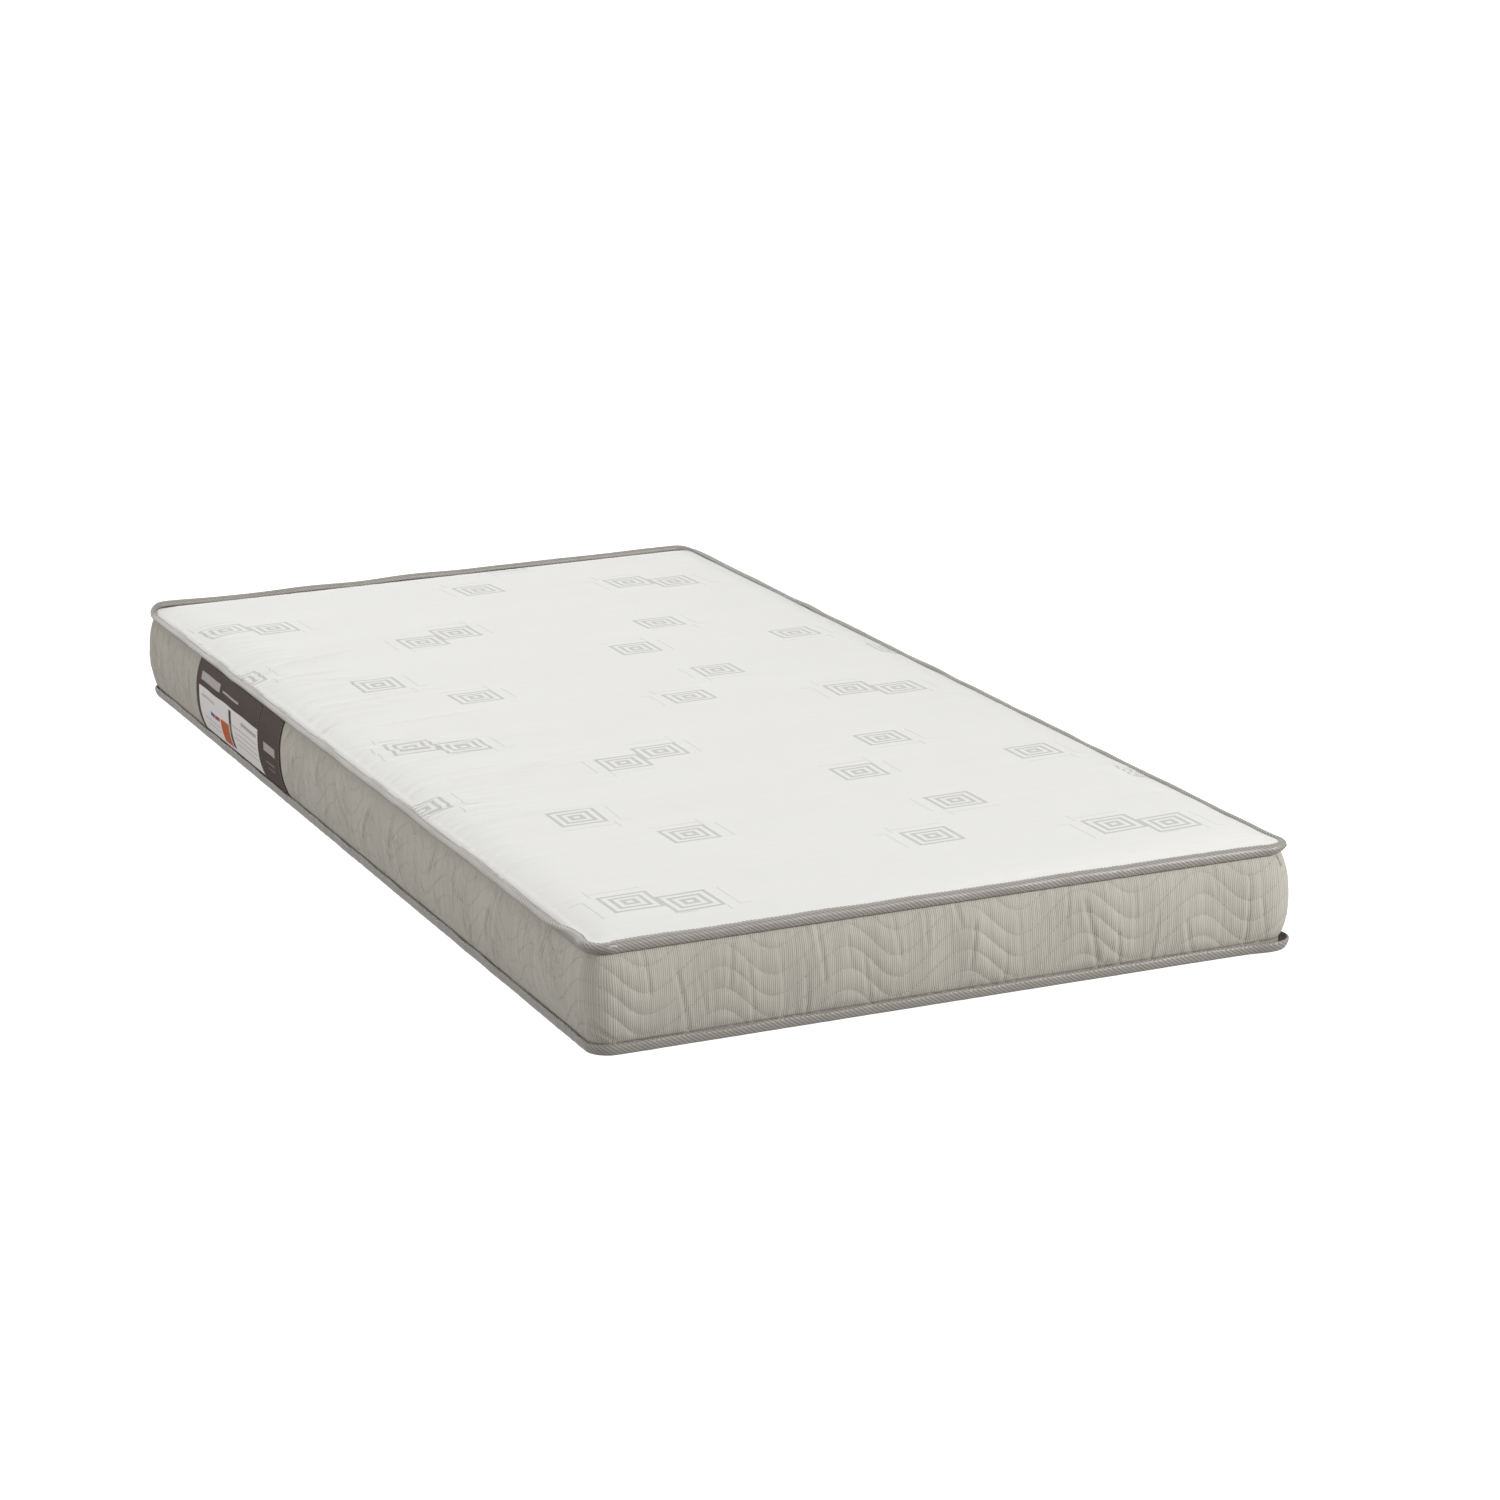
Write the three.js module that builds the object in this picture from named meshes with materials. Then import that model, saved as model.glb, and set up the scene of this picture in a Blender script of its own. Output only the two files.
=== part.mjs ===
// A single foam mattress: a foam block in a sewn cover of two panels, a quilted border and two edge tapes.
// Millimetres. X is the width, Y the length and Z is up; the origin is under the middle of the mattress.

import * as THREE from "three";

// ---- Driving dimensions ----

const WIDTH = 880; // across the outer faces of the tapes
const LENGTH = 1880;
const EDGE_HEIGHT = 132; // up to the top of the upper tape
const CROWN_HEIGHT = 140; // up to the middle of the lying surface
const CORNER_RADIUS = 28; // the tapes' outer faces, seen from above
const GAP = 0.4; // between two pieces that touch

const TAPE = { thickness: 1.2, fold: 12, topLeg: 12, bottomLeg: 13, rise: 1 };
const PANEL = { fabric: 0.8, wadding: 2.5, crownReach: 70, crownPower: 2.2, footReach: 30 };
const BORDER = { fabric: 0.9, padding: 4, backing: 0.5, tuck: 2.5, bulge: 4, bulgePower: 2.4 };
const THREAD = 0.6;
const QUILT = { waves: 36, rise: 22.5, crestX: 14, stepsPerWave: 6, rows: { low: 41, middle: 66.5, high: 92 } };
const LABEL = { thickness: 0.5, foot: 228, head: 646, endPanel: 100 };
const CLOSING_SEAM_X = 250; // where the border strip's two ends meet, on the head side

// ---- Materials ----

const fabric = (color, roughness) => new THREE.MeshStandardMaterial({ color, roughness, metalness: 0 });
const FOAM = 0xe9e2c4;
const WHITE_FABRIC = 0xeae9e6;
const WHITE_FIBRE = 0xf2f1ee;
const BORDER_OLIVE = 0xb7b3a6;
const TAPE_GREY = 0x86817c;
const THREAD_WHITE = 0xd8d6d0;
const THREAD_GREY = 0x9a958e;
const LABEL_BROWN = 0x4a4240;

// ---- The outline, seen from above ----

const CORNER_STEPS = 5;
const STRAIGHT_X = WIDTH / 2 - CORNER_RADIUS;
const STRAIGHT_Y = LENGTH / 2 - CORNER_RADIUS;
const ARC = (Math.PI / 2) * CORNER_RADIUS;

// The four corners in anticlockwise order, each with the direction in which its arc starts.
const CORNERS = [
  { x: 1, y: -1, start: -Math.PI / 2 },
  { x: 1, y: 1, start: 0 },
  { x: -1, y: 1, start: Math.PI / 2 },
  { x: -1, y: -1, start: Math.PI },
];

// A closed rounded rectangle this far inside the tapes' outer faces. Every one has the same number of points.
function outline(inset) {
  const radius = Math.max(CORNER_RADIUS - inset, CORNER_RADIUS / 3);
  const centreX = WIDTH / 2 - inset - radius;
  const centreY = LENGTH / 2 - inset - radius;
  const points = [];
  for (const corner of CORNERS) {
    for (let step = 0; step <= CORNER_STEPS; step += 1) {
      const angle = corner.start + ((Math.PI / 2) * step) / CORNER_STEPS;
      points.push([
        corner.x * centreX + radius * Math.cos(angle),
        corner.y * centreY + radius * Math.sin(angle),
      ]);
    }
  }
  return points;
}

// The corner steps and four straight sides as distances walked from the foot side's right end.
function walk() {
  const sides = [2 * STRAIGHT_Y, 2 * STRAIGHT_X, 2 * STRAIGHT_Y, 2 * STRAIGHT_X];
  const legs = [];
  let from = 0;
  CORNERS.forEach((corner, index) => {
    legs.push({ from, length: ARC, corner, arc: true });
    from += ARC;
    legs.push({ from, length: sides[index], corner, arc: false });
    from += sides[index];
  });
  return { legs, total: from };
}

const WALK = walk();

// The point at a walked distance, moved inwards by inset and up to z.
function placed(distance, inset, z) {
  const leg = WALK.legs.findLast((each) => distance >= each.from - 1e-9);
  const along = distance - leg.from;
  const turned = leg.arc ? along / CORNER_RADIUS : Math.PI / 2;
  const angle = leg.corner.start + turned;
  const reach = CORNER_RADIUS - inset;
  const forward = leg.arc ? 0 : along;
  return [
    leg.corner.x * STRAIGHT_X + reach * Math.cos(angle) - forward * Math.sin(angle),
    leg.corner.y * STRAIGHT_Y + reach * Math.sin(angle) + forward * Math.cos(angle),
    z,
  ];
}

// ---- Solids from rings of points ----

// A mesh from rings that all have the same number of points, each joined to the next.
// A band joins its last ring to its first; a panel closes each end ring with a flat fan.
function fromRings(rings, isBand) {
  const count = rings[0].length;
  const vertices = rings.flat(2);
  const triangles = [];
  const joins = isBand ? rings.length : rings.length - 1;
  for (let ring = 0; ring < joins; ring += 1) {
    const here = ring * count;
    const next = ((ring + 1) % rings.length) * count;
    for (let i = 0; i < count; i += 1) {
      const j = (i + 1) % count;
      triangles.push(here + i, here + j, next + j);
      triangles.push(here + i, next + j, next + i);
    }
  }
  const last = (rings.length - 1) * count;
  for (let i = 1; !isBand && i < count - 1; i += 1) {
    triangles.push(0, i + 1, i);
    triangles.push(last, last + i, last + i + 1);
  }
  const geometry = new THREE.BufferGeometry();
  geometry.setAttribute("position", new THREE.Float32BufferAttribute(vertices, 3));
  geometry.setIndex(triangles);
  geometry.computeVertexNormals();
  return geometry;
}

const levelRing = ([inset, z]) => outline(inset).map(([x, y]) => [x, y, z]);

// A closed loop around the mattress. The section is walked inwards over the top, then back outwards.
const band = (section) => fromRings(section.map(levelRing), true);

// A solid over the whole plan. The profile is walked from its lower middle to its upper middle, by the edge.
const slab = (profile) => fromRings(profile.map(levelRing), false);

// ---- Profiles shared by the layers ----

const MID_HEIGHT = (TAPE.rise + TAPE.bottomLeg + EDGE_HEIGHT - TAPE.topLeg) / 2;
const HALF_VISIBLE = (EDGE_HEIGHT - TAPE.topLeg - TAPE.rise - TAPE.bottomLeg) / 2;

// How far inside the tapes' outer faces the border's own outer face lies. It bulges between the tapes.
function borderInset(z) {
  const share = Math.min(Math.abs(z - MID_HEIGHT) / HALF_VISIBLE, 1);
  return BORDER.tuck - (BORDER.tuck + BORDER.bulge) * (1 - share ** BORDER.bulgePower);
}

const TOP_SEAT = EDGE_HEIGHT - TAPE.thickness - GAP; // the upper panel's face under the tape's fold
const BOTTOM_SEAT = TAPE.rise + TAPE.thickness + GAP;
const FOLD_END = TAPE.fold + GAP;

// The outer faces of the two panels, by inset.
function crown(inset) {
  const share = Math.min(Math.max((inset - FOLD_END) / (PANEL.crownReach - FOLD_END), 0), 1);
  return TOP_SEAT + (CROWN_HEIGHT - TOP_SEAT) * (1 - (1 - share) ** PANEL.crownPower);
}

function foot(inset) {
  const share = Math.min(Math.max((inset - FOLD_END) / (PANEL.footReach - FOLD_END), 0), 1);
  return BOTTOM_SEAT * (1 - share) ** 2;
}

const TOP_INSETS = [FOLD_END, 17, 22, 29, 38, 52, PANEL.crownReach];
const BOTTOM_INSETS = [FOLD_END, 17, 22, PANEL.footReach];

// A layer of the upper or lower panel, between two depths under its outer face.
function topLayer(depth, thickness, insets) {
  const lower = insets.map((inset) => [inset, crown(inset) - depth - thickness]);
  const upper = insets.map((inset) => [inset, crown(inset) - depth]);
  return slab([...lower.reverse(), ...upper]);
}

function bottomLayer(depth, thickness, insets) {
  const lower = insets.map((inset) => [inset, foot(inset) + depth]);
  const upper = insets.map((inset) => [inset, foot(inset) + depth + thickness]);
  return slab([...lower.reverse(), ...upper]);
}

// The heights at which every border layer bends, so that the layers stay parallel.
function bends(low, high) {
  const steps = 8;
  const shares = Array.from({ length: steps + 1 }, (_, step) => (2 * step) / steps - 1);
  const visible = shares.map((share) => MID_HEIGHT + HALF_VISIBLE * share);
  return [low, ...visible.filter((z) => z > low && z < high), high];
}

// A layer of the border, between two depths under its outer face.
function borderLayer(depth, thickness, low, high) {
  const outer = bends(low, high).map((z) => [borderInset(z) + depth, z]);
  const inner = bends(low, high).map((z) => [borderInset(z) + depth + thickness, z]);
  return band([...outer, ...inner.reverse()]);
}

// ---- Pieces ----

const model = new THREE.Group();

function piece(name, geometry, color, roughness = 0.9) {
  const mesh = new THREE.Mesh(geometry, fabric(color, roughness));
  mesh.name = name;
  model.add(mesh);
  return mesh;
}

const WADDING_DEPTH = PANEL.fabric + GAP;
const CORE_DEPTH = WADDING_DEPTH + PANEL.wadding + GAP;
const PADDING_DEPTH = BORDER.fabric + GAP;
const BACKING_DEPTH = PADDING_DEPTH + BORDER.padding + GAP;
const CORE_SIDE_DEPTH = BACKING_DEPTH + BORDER.backing + GAP;

// One foam block that fills the cover. The tapes squeeze its edges round between the side and the flat faces.
const CORE_ROUND = { inwards: 2.5, lowest: 9, low: 14, high: 118, highest: 123 };

function foamCore() {
  const bottom = [PANEL.footReach, 20].map((inset) => [inset, foot(inset) + CORE_DEPTH]);
  const side = bends(CORE_ROUND.low, CORE_ROUND.high).map((z) => [borderInset(z) + CORE_SIDE_DEPTH, z]);
  const top = [19, 26, 38, 52, PANEL.crownReach].map((inset) => [inset, crown(inset) - CORE_DEPTH]);
  const rounded = BORDER.tuck + CORE_SIDE_DEPTH + CORE_ROUND.inwards;
  return slab([...bottom, [rounded, CORE_ROUND.lowest], ...side, [rounded, CORE_ROUND.highest], ...top]);
}

piece("foam_core", foamCore(), FOAM, 0.95);

// The panels: a woven fabric over a thin sheet of fibre wadding. Only the fabric reaches into the tape.
const UNDER_TAPE = TAPE.thickness + 2 * GAP; // where the panels' cut edges end, inside the fold
piece("top_panel_fabric", topLayer(0, PANEL.fabric, [UNDER_TAPE, ...TOP_INSETS]), WHITE_FABRIC, 0.7);
piece("top_panel_wadding", topLayer(WADDING_DEPTH, PANEL.wadding, TOP_INSETS.slice(1)), WHITE_FIBRE);
piece("bottom_panel_fabric", bottomLayer(0, PANEL.fabric, [UNDER_TAPE, ...BOTTOM_INSETS]), WHITE_FABRIC);
const bottomWadding = bottomLayer(WADDING_DEPTH, PANEL.wadding, BOTTOM_INSETS.slice(1));
piece("bottom_panel_wadding", bottomWadding, WHITE_FIBRE);

// The border: ribbed fabric, a thin foam and a fibre backing, quilted together and sewn into both tapes.
const BORDER_LOW = BOTTOM_SEAT + PANEL.fabric + GAP;
const BORDER_HIGH = TOP_SEAT - PANEL.fabric - GAP;
const LINING_TRIM = 6; // the lining is cut short of the fabric's edges
const LINING_LOW = BORDER_LOW + LINING_TRIM;
const LINING_HIGH = BORDER_HIGH - LINING_TRIM;
piece("border_fabric", borderLayer(0, BORDER.fabric, BORDER_LOW, BORDER_HIGH), BORDER_OLIVE, 0.85);
piece("border_padding", borderLayer(PADDING_DEPTH, BORDER.padding, LINING_LOW, LINING_HIGH), FOAM);
piece("border_backing", borderLayer(BACKING_DEPTH, BORDER.backing, LINING_LOW, LINING_HIGH), WHITE_FIBRE);

// Three threads quilt the border in parallel waves. Each one lies on the fabric all round the mattress.
function quiltingThread(midHeight) {
  const count = QUILT.waves * QUILT.stepsPerWave;
  const firstCrest = STRAIGHT_X + QUILT.crestX;
  const waveStep = (_, step) => (firstCrest + (step * WALK.total) / count) % WALK.total;
  const waveSteps = Array.from({ length: count }, waveStep);
  const arcStep = (_, step) => (step * ARC) / CORNER_STEPS;
  const arcSteps = WALK.legs
    .filter((leg) => leg.arc)
    .flatMap((leg) => Array.from({ length: CORNER_STEPS + 1 }, arcStep).map((along) => leg.from + along));
  const distances = [...waveSteps, ...arcSteps].sort((a, b) => a - b);
  const apart = distances.filter((here, i) => i === 0 || here - distances[i - 1] > THREAD);
  const sides = [[0, -1], [1, 0], [0, 1], [-1, 0]];
  const rings = sides.map(([outward, upward]) =>
    apart.map((distance) => {
      const turns = ((distance - firstCrest) / WALK.total) * QUILT.waves;
      const z = midHeight + QUILT.rise * Math.cos(2 * Math.PI * turns);
      const inset = borderInset(z) - GAP - (THREAD / 2) * (1 + outward);
      return placed(distance, inset, z + (THREAD / 2) * upward);
    }),
  );
  return fromRings(rings, true);
}

for (const [row, midHeight] of Object.entries(QUILT.rows)) {
  piece(`quilting_thread_${row}`, quiltingThread(midHeight), THREAD_WHITE);
}

// The edge tapes: a woven strip folded over the panel's and the border's edges, with one leg on each.
// The fold's outer face bends with a radius of fullBend, and its inner face is cut across by innerBend.
function tapeSection(edge, towards, leg) {
  const fullBend = 1.6;
  const innerBend = 0.8;
  const bendMiddle = fullBend * (1 - Math.SQRT1_2);
  const inner = edge + towards * TAPE.thickness;
  const outerFace = [
    [0, edge + towards * leg],
    [0, edge + towards * fullBend],
    [bendMiddle, edge + towards * bendMiddle],
    [fullBend, edge],
    [TAPE.fold, edge],
  ];
  const innerFace = [
    [TAPE.fold, inner],
    [TAPE.thickness + innerBend, inner],
    [TAPE.thickness, inner + towards * innerBend],
    [TAPE.thickness, edge + towards * leg],
  ];
  return [...outerFace, ...innerFace];
}

piece("top_tape", band(tapeSection(EDGE_HEIGHT, -1, TAPE.topLeg)), TAPE_GREY);
piece("bottom_tape", band(tapeSection(TAPE.rise, 1, TAPE.bottomLeg).reverse()), TAPE_GREY);

// Each tape is sewn with a chain stitch: a needle thread on the panel and a looper thread on the border.
function threadLoop(inset, z) {
  const half = THREAD / 2;
  return band([
    [inset - half, z - half],
    [inset - half, z + half],
    [inset + half, z + half],
    [inset + half, z - half],
  ]);
}

const STITCH_EDGE = 1.7; // from the tape's edge to its stitch line
const STITCH_LIFT = 0.3 + THREAD / 2; // from the tape's face to the thread's middle
const needleThread = (z) => threadLoop(TAPE.fold - STITCH_EDGE, z);
const looperThread = (z) => threadLoop(-STITCH_LIFT, z);
piece("top_tape_needle_thread", needleThread(EDGE_HEIGHT + STITCH_LIFT), THREAD_WHITE);
piece("top_tape_looper_thread", looperThread(EDGE_HEIGHT - TAPE.topLeg + STITCH_EDGE), THREAD_GREY);
piece("bottom_tape_needle_thread", needleThread(TAPE.rise - STITCH_LIFT), THREAD_WHITE);
piece("bottom_tape_looper_thread", looperThread(TAPE.rise + TAPE.bottomLeg - STITCH_EDGE), THREAD_GREY);

// A strip that follows the border's bulge from tape to tape, at this height over the fabric.
function bulgingStrip(lift, thickness, length) {
  const low = TAPE.rise + TAPE.bottomLeg + GAP;
  const high = EDGE_HEIGHT - TAPE.topLeg - GAP;
  const inner = bends(low, high).map((z) => new THREE.Vector2(lift - borderInset(z), z));
  const outer = bends(low, high).map((z) => new THREE.Vector2(lift + thickness - borderInset(z), z));
  const section = new THREE.Shape([...inner, ...outer.reverse()]);
  return new THREE.ExtrudeGeometry(section, { depth: length, bevelEnabled: false });
}

// Turns a strip's outward direction to the left side, or to the head side, and moves it along that side.
const ON_LEFT = new THREE.Matrix4().makeBasis(
  new THREE.Vector3(-1, 0, 0),
  new THREE.Vector3(0, 0, 1),
  new THREE.Vector3(0, 1, 0),
);
const ON_HEAD = new THREE.Matrix4().makeBasis(
  new THREE.Vector3(0, 1, 0),
  new THREE.Vector3(0, 0, 1),
  new THREE.Vector3(1, 0, 0),
);
const onLeft = (strip, y) => strip.applyMatrix4(ON_LEFT).translate(-WIDTH / 2, y, 0);
const onHead = (strip, x) => strip.applyMatrix4(ON_HEAD).translate(x, LENGTH / 2, 0);

// The border strip's two ends are sewn together over the quilting.
const OVER_QUILTING = 2 * GAP + THREAD;
const closingThread = bulgingStrip(OVER_QUILTING, THREAD, THREAD);
piece("border_closing_thread", onHead(closingThread, CLOSING_SEAM_X), THREAD_WHITE);

// The label is two printed pieces of satin side by side, each sewn down at its ends.
const LABEL_SPLIT = LABEL.foot + LABEL.endPanel;
const LABEL_TOP = OVER_QUILTING + LABEL.thickness + GAP;
const labelStrip = (length) => bulgingStrip(OVER_QUILTING, LABEL.thickness, length);
const labelThread = () => bulgingStrip(LABEL_TOP, THREAD, THREAD);
const SEW_MARGIN = 3;
piece("label_main", onLeft(labelStrip(LABEL.head - LABEL_SPLIT - GAP), LABEL_SPLIT + GAP), LABEL_BROWN, 0.6);
piece("label_end", onLeft(labelStrip(LABEL.endPanel), LABEL.foot), LABEL_BROWN, 0.6);
piece("label_thread_foot", onLeft(labelThread(), LABEL.foot + SEW_MARGIN), THREAD_GREY);
piece("label_thread_middle", onLeft(labelThread(), LABEL_SPLIT + SEW_MARGIN), THREAD_GREY);
piece("label_thread_head", onLeft(labelThread(), LABEL.head - SEW_MARGIN - THREAD), THREAD_GREY);

export default model;
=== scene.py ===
"""Looks of a single foam mattress: a woven top, a border quilted in waves, two edge tapes and a label.

Metres in the row frame: X across, Y towards the head end, Z up, with the origin under the middle.
Distances "along" are walked anticlockwise around the tapes' outer faces, from the foot side's left end.
"Inset" is how far a point lies inside those faces.
"""

import math

import bpy
import numpy as np
from mathutils import Matrix, Vector


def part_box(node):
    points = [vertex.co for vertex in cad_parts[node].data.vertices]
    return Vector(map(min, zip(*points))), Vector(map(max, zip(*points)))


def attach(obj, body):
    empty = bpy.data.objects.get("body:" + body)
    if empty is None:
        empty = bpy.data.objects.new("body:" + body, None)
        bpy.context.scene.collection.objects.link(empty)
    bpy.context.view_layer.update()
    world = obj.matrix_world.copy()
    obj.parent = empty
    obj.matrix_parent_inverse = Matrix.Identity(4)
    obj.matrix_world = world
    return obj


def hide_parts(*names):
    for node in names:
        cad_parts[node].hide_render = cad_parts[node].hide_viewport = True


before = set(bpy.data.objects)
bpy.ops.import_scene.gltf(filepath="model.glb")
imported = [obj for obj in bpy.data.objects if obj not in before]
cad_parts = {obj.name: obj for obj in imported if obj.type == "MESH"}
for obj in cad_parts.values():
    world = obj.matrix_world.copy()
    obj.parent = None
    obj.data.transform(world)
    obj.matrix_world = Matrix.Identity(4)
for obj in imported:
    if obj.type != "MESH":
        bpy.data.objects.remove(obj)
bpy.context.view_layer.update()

MM = 0.001
rng = np.random.default_rng(41)

# ---- Sizes taken from the frame ----

TAPE_LOW, TAPE_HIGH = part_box("top_tape")
BOTTOM_LOW, BOTTOM_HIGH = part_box("bottom_tape")
HALF_X = TAPE_HIGH.x
HALF_Y = TAPE_HIGH.y
EDGE_TOP = TAPE_HIGH.z  # the upper tape's fold
LEG_LOW = TAPE_LOW.z  # the upper tape's edge on the border
LEG_HIGH = BOTTOM_HIGH.z  # the lower tape's edge on the border
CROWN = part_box("top_panel_fabric")[1].z
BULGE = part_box("border_fabric")[1].x - HALF_X
LABEL_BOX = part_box("label_main")
LABEL_END_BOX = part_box("label_end")

CORNER = 28 * MM  # the tapes' outer faces, seen from above
FOLD = 12 * MM  # the tape's leg on a panel
TUCK = 2.5 * MM  # where the border's face goes under the tapes
SEAT = EDGE_TOP - 1.6 * MM  # the upper panel's face under the tape
MID = (LEG_LOW + LEG_HIGH) / 2
HALF_VISIBLE = (LEG_LOW - LEG_HIGH) / 2

# ---- The walk around the mattress ----

STRAIGHT_X = HALF_X - CORNER
STRAIGHT_Y = HALF_Y - CORNER
ARC = math.pi / 2 * CORNER
LEGS = [2 * STRAIGHT_X, ARC, 2 * STRAIGHT_Y, ARC, 2 * STRAIGHT_X, ARC, 2 * STRAIGHT_Y, ARC]
STARTS = np.concatenate([[0], np.cumsum(LEGS)])
TOTAL = STARTS[-1]
RIGHT_START, BACK_START, LEFT_START = STARTS[2], STARTS[4], STARTS[6]
FOOT_RIGHT_CORNER, HEAD_LEFT_CORNER, FOOT_LEFT_CORNER = (end - ARC / 2 for end in STARTS[[2, 6, 8]])


def along_front(x):
    return x + STRAIGHT_X


def along_right(y):
    return RIGHT_START + STRAIGHT_Y + y


def along_back(x):
    return BACK_START + STRAIGHT_X - x


def along_left(y):
    return LEFT_START + STRAIGHT_Y - y


SEAM = along_back(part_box("border_closing_thread")[0].x)  # where the border strip's two ends meet


def cloth_along(along):
    """The walked distance from the closing seam, for the shaders, so that it only jumps at that seam."""
    return np.mod(along - SEAM, TOTAL)


def outline(along):
    """Points on the tapes' outer faces, and the outward directions there."""
    along = np.mod(np.asarray(along, float), TOTAL)
    leg = np.clip(np.searchsorted(STARTS, along, side="right") - 1, 0, 7)
    rest = along - STARTS[leg]
    quarter = leg // 2
    turned = np.where(leg % 2 == 1, rest / CORNER, 0.0)
    angle = (quarter - 1) * math.pi / 2 + turned
    outward = np.stack([np.cos(angle), np.sin(angle)], -1)
    forward = np.stack([-np.sin(angle), np.cos(angle)], -1)
    first = np.array([[-1, -1], [1, -1], [1, 1], [-1, 1]])[quarter]
    last = np.array([[1, -1], [1, 1], [-1, 1], [-1, -1]])[quarter]
    straight = (leg % 2 == 0)[..., None]
    centre = np.where(straight, first, last) * [STRAIGHT_X, STRAIGHT_Y]
    return centre + outward * CORNER + np.where(straight, forward * rest[..., None], 0), outward


def place(along, inset, z):
    """Row-frame points at a walked distance, an inset and a height."""
    along, inset, z = np.broadcast_arrays(along, inset, z)
    flat, outward = outline(along)
    return np.concatenate([flat - outward * inset[..., None], z[..., None]], -1)


# ---- Irregular but repeatable shapes ----


def ripple(shortest, longest, count=14):
    """A function of the walked distance with a spread of one, that closes on itself."""
    low, high = TOTAL / longest, TOTAL / shortest
    turns = np.round(rng.uniform(low, high, count))
    phases = rng.uniform(0, 2 * math.pi, count)
    sizes = rng.uniform(0.5, 1, count)
    sizes *= math.sqrt(2 / np.sum(sizes**2))

    def value(along):
        along = np.asarray(along, float)[..., None]
        return np.sum(sizes * np.cos(2 * math.pi * turns * along / TOTAL + phases), -1)

    return value


def swell(shortest, longest, tilt, count=12):
    """A function of x and y with a spread of one. Its waves run across the length, within a tilt."""
    lengths = rng.uniform(shortest, longest, count)
    angles = rng.normal(math.pi / 2, tilt, count)
    phases = rng.uniform(0, 2 * math.pi, count)
    scale = math.sqrt(2 / count)

    def value(x, y):
        total = np.zeros(np.broadcast(x, y).shape)
        for length, angle, phase in zip(lengths, angles, phases):
            turn = (x * math.cos(angle) + y * math.sin(angle)) / length
            total += np.cos(2 * math.pi * turn + phase)
        return total * scale

    return value


def smooth(value, low, high):
    share = np.clip((value - low) / (high - low), 0, 1)
    return share * share * (3 - 2 * share)


def window(value, low, high, soft):
    """One between low and high, and falling to zero over the soft distance outside them."""
    return smooth(value, low - soft, low) * (1 - smooth(value, high, high + soft))


def bell(value, width):
    return np.exp(-((value / width) ** 2))


def from_middle(z):
    """The share of the way from the border's middle height to the tapes' edges."""
    return np.minimum(np.abs(z - MID) / HALF_VISIBLE, 1)


# ---- Meshes ----


def quads(rows, columns, close_rows=False, close_columns=False):
    """The faces of a grid of vertices that are numbered row by row."""
    r = np.arange(rows if close_rows else rows - 1)
    c = np.arange(columns if close_columns else columns - 1)
    r, c = np.meshgrid(r, c, indexing="ij")
    up, right = (r + 1) % rows, (c + 1) % columns
    corners = [r * columns + c, r * columns + right, up * columns + right, up * columns + c]
    return np.stack(corners, -1).reshape(-1, 4)


def rim_of(index):
    """The outer vertex numbers of a grid, walked anticlockwise."""
    return np.concatenate([index[0, :-1], index[:-1, -1], index[-1, :0:-1], index[:0:-1, 0]])


def make_mesh(name, vertices, faces, attributes=None):
    """An object from an array of vertices and a list of arrays of faces, each with its own corner count."""
    mesh = bpy.data.meshes.new(name)
    faces = [f for f in faces if len(f)]
    mesh.vertices.add(len(vertices))
    mesh.vertices.foreach_set("co", np.asarray(vertices, np.float32).ravel())
    corner_lists = np.concatenate([f.ravel() for f in faces]).astype(np.int32)
    sizes = np.concatenate([np.full(len(f), f.shape[1]) for f in faces]).astype(np.int32)
    mesh.loops.add(len(corner_lists))
    mesh.loops.foreach_set("vertex_index", corner_lists)
    mesh.polygons.add(len(sizes))
    starts = np.concatenate([[0], np.cumsum(sizes)[:-1]]).astype(np.int32)
    mesh.polygons.foreach_set("loop_start", starts)
    mesh.polygons.foreach_set("use_smooth", np.ones(len(sizes), bool))
    mesh.update(calc_edges=True)
    mesh.validate()
    for key, values in (attributes or {}).items():
        layer = mesh.attributes.new(key, "FLOAT_VECTOR", "POINT")
        layer.data.foreach_set("vector", np.asarray(values, np.float32).ravel())
    made = bpy.data.objects.new(name, mesh)
    bpy.context.scene.collection.objects.link(made)
    return made


def finish_piece(made, material, slot, *nodes):
    """Gives a piece its material and its body, and hides the CAD nodes that it stands for. The slot is not
    used.
    """
    made.data.materials.append(material)
    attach(made, "root")
    if nodes:
        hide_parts(*nodes)
    return made


# ---- Shader graphs ----


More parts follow.
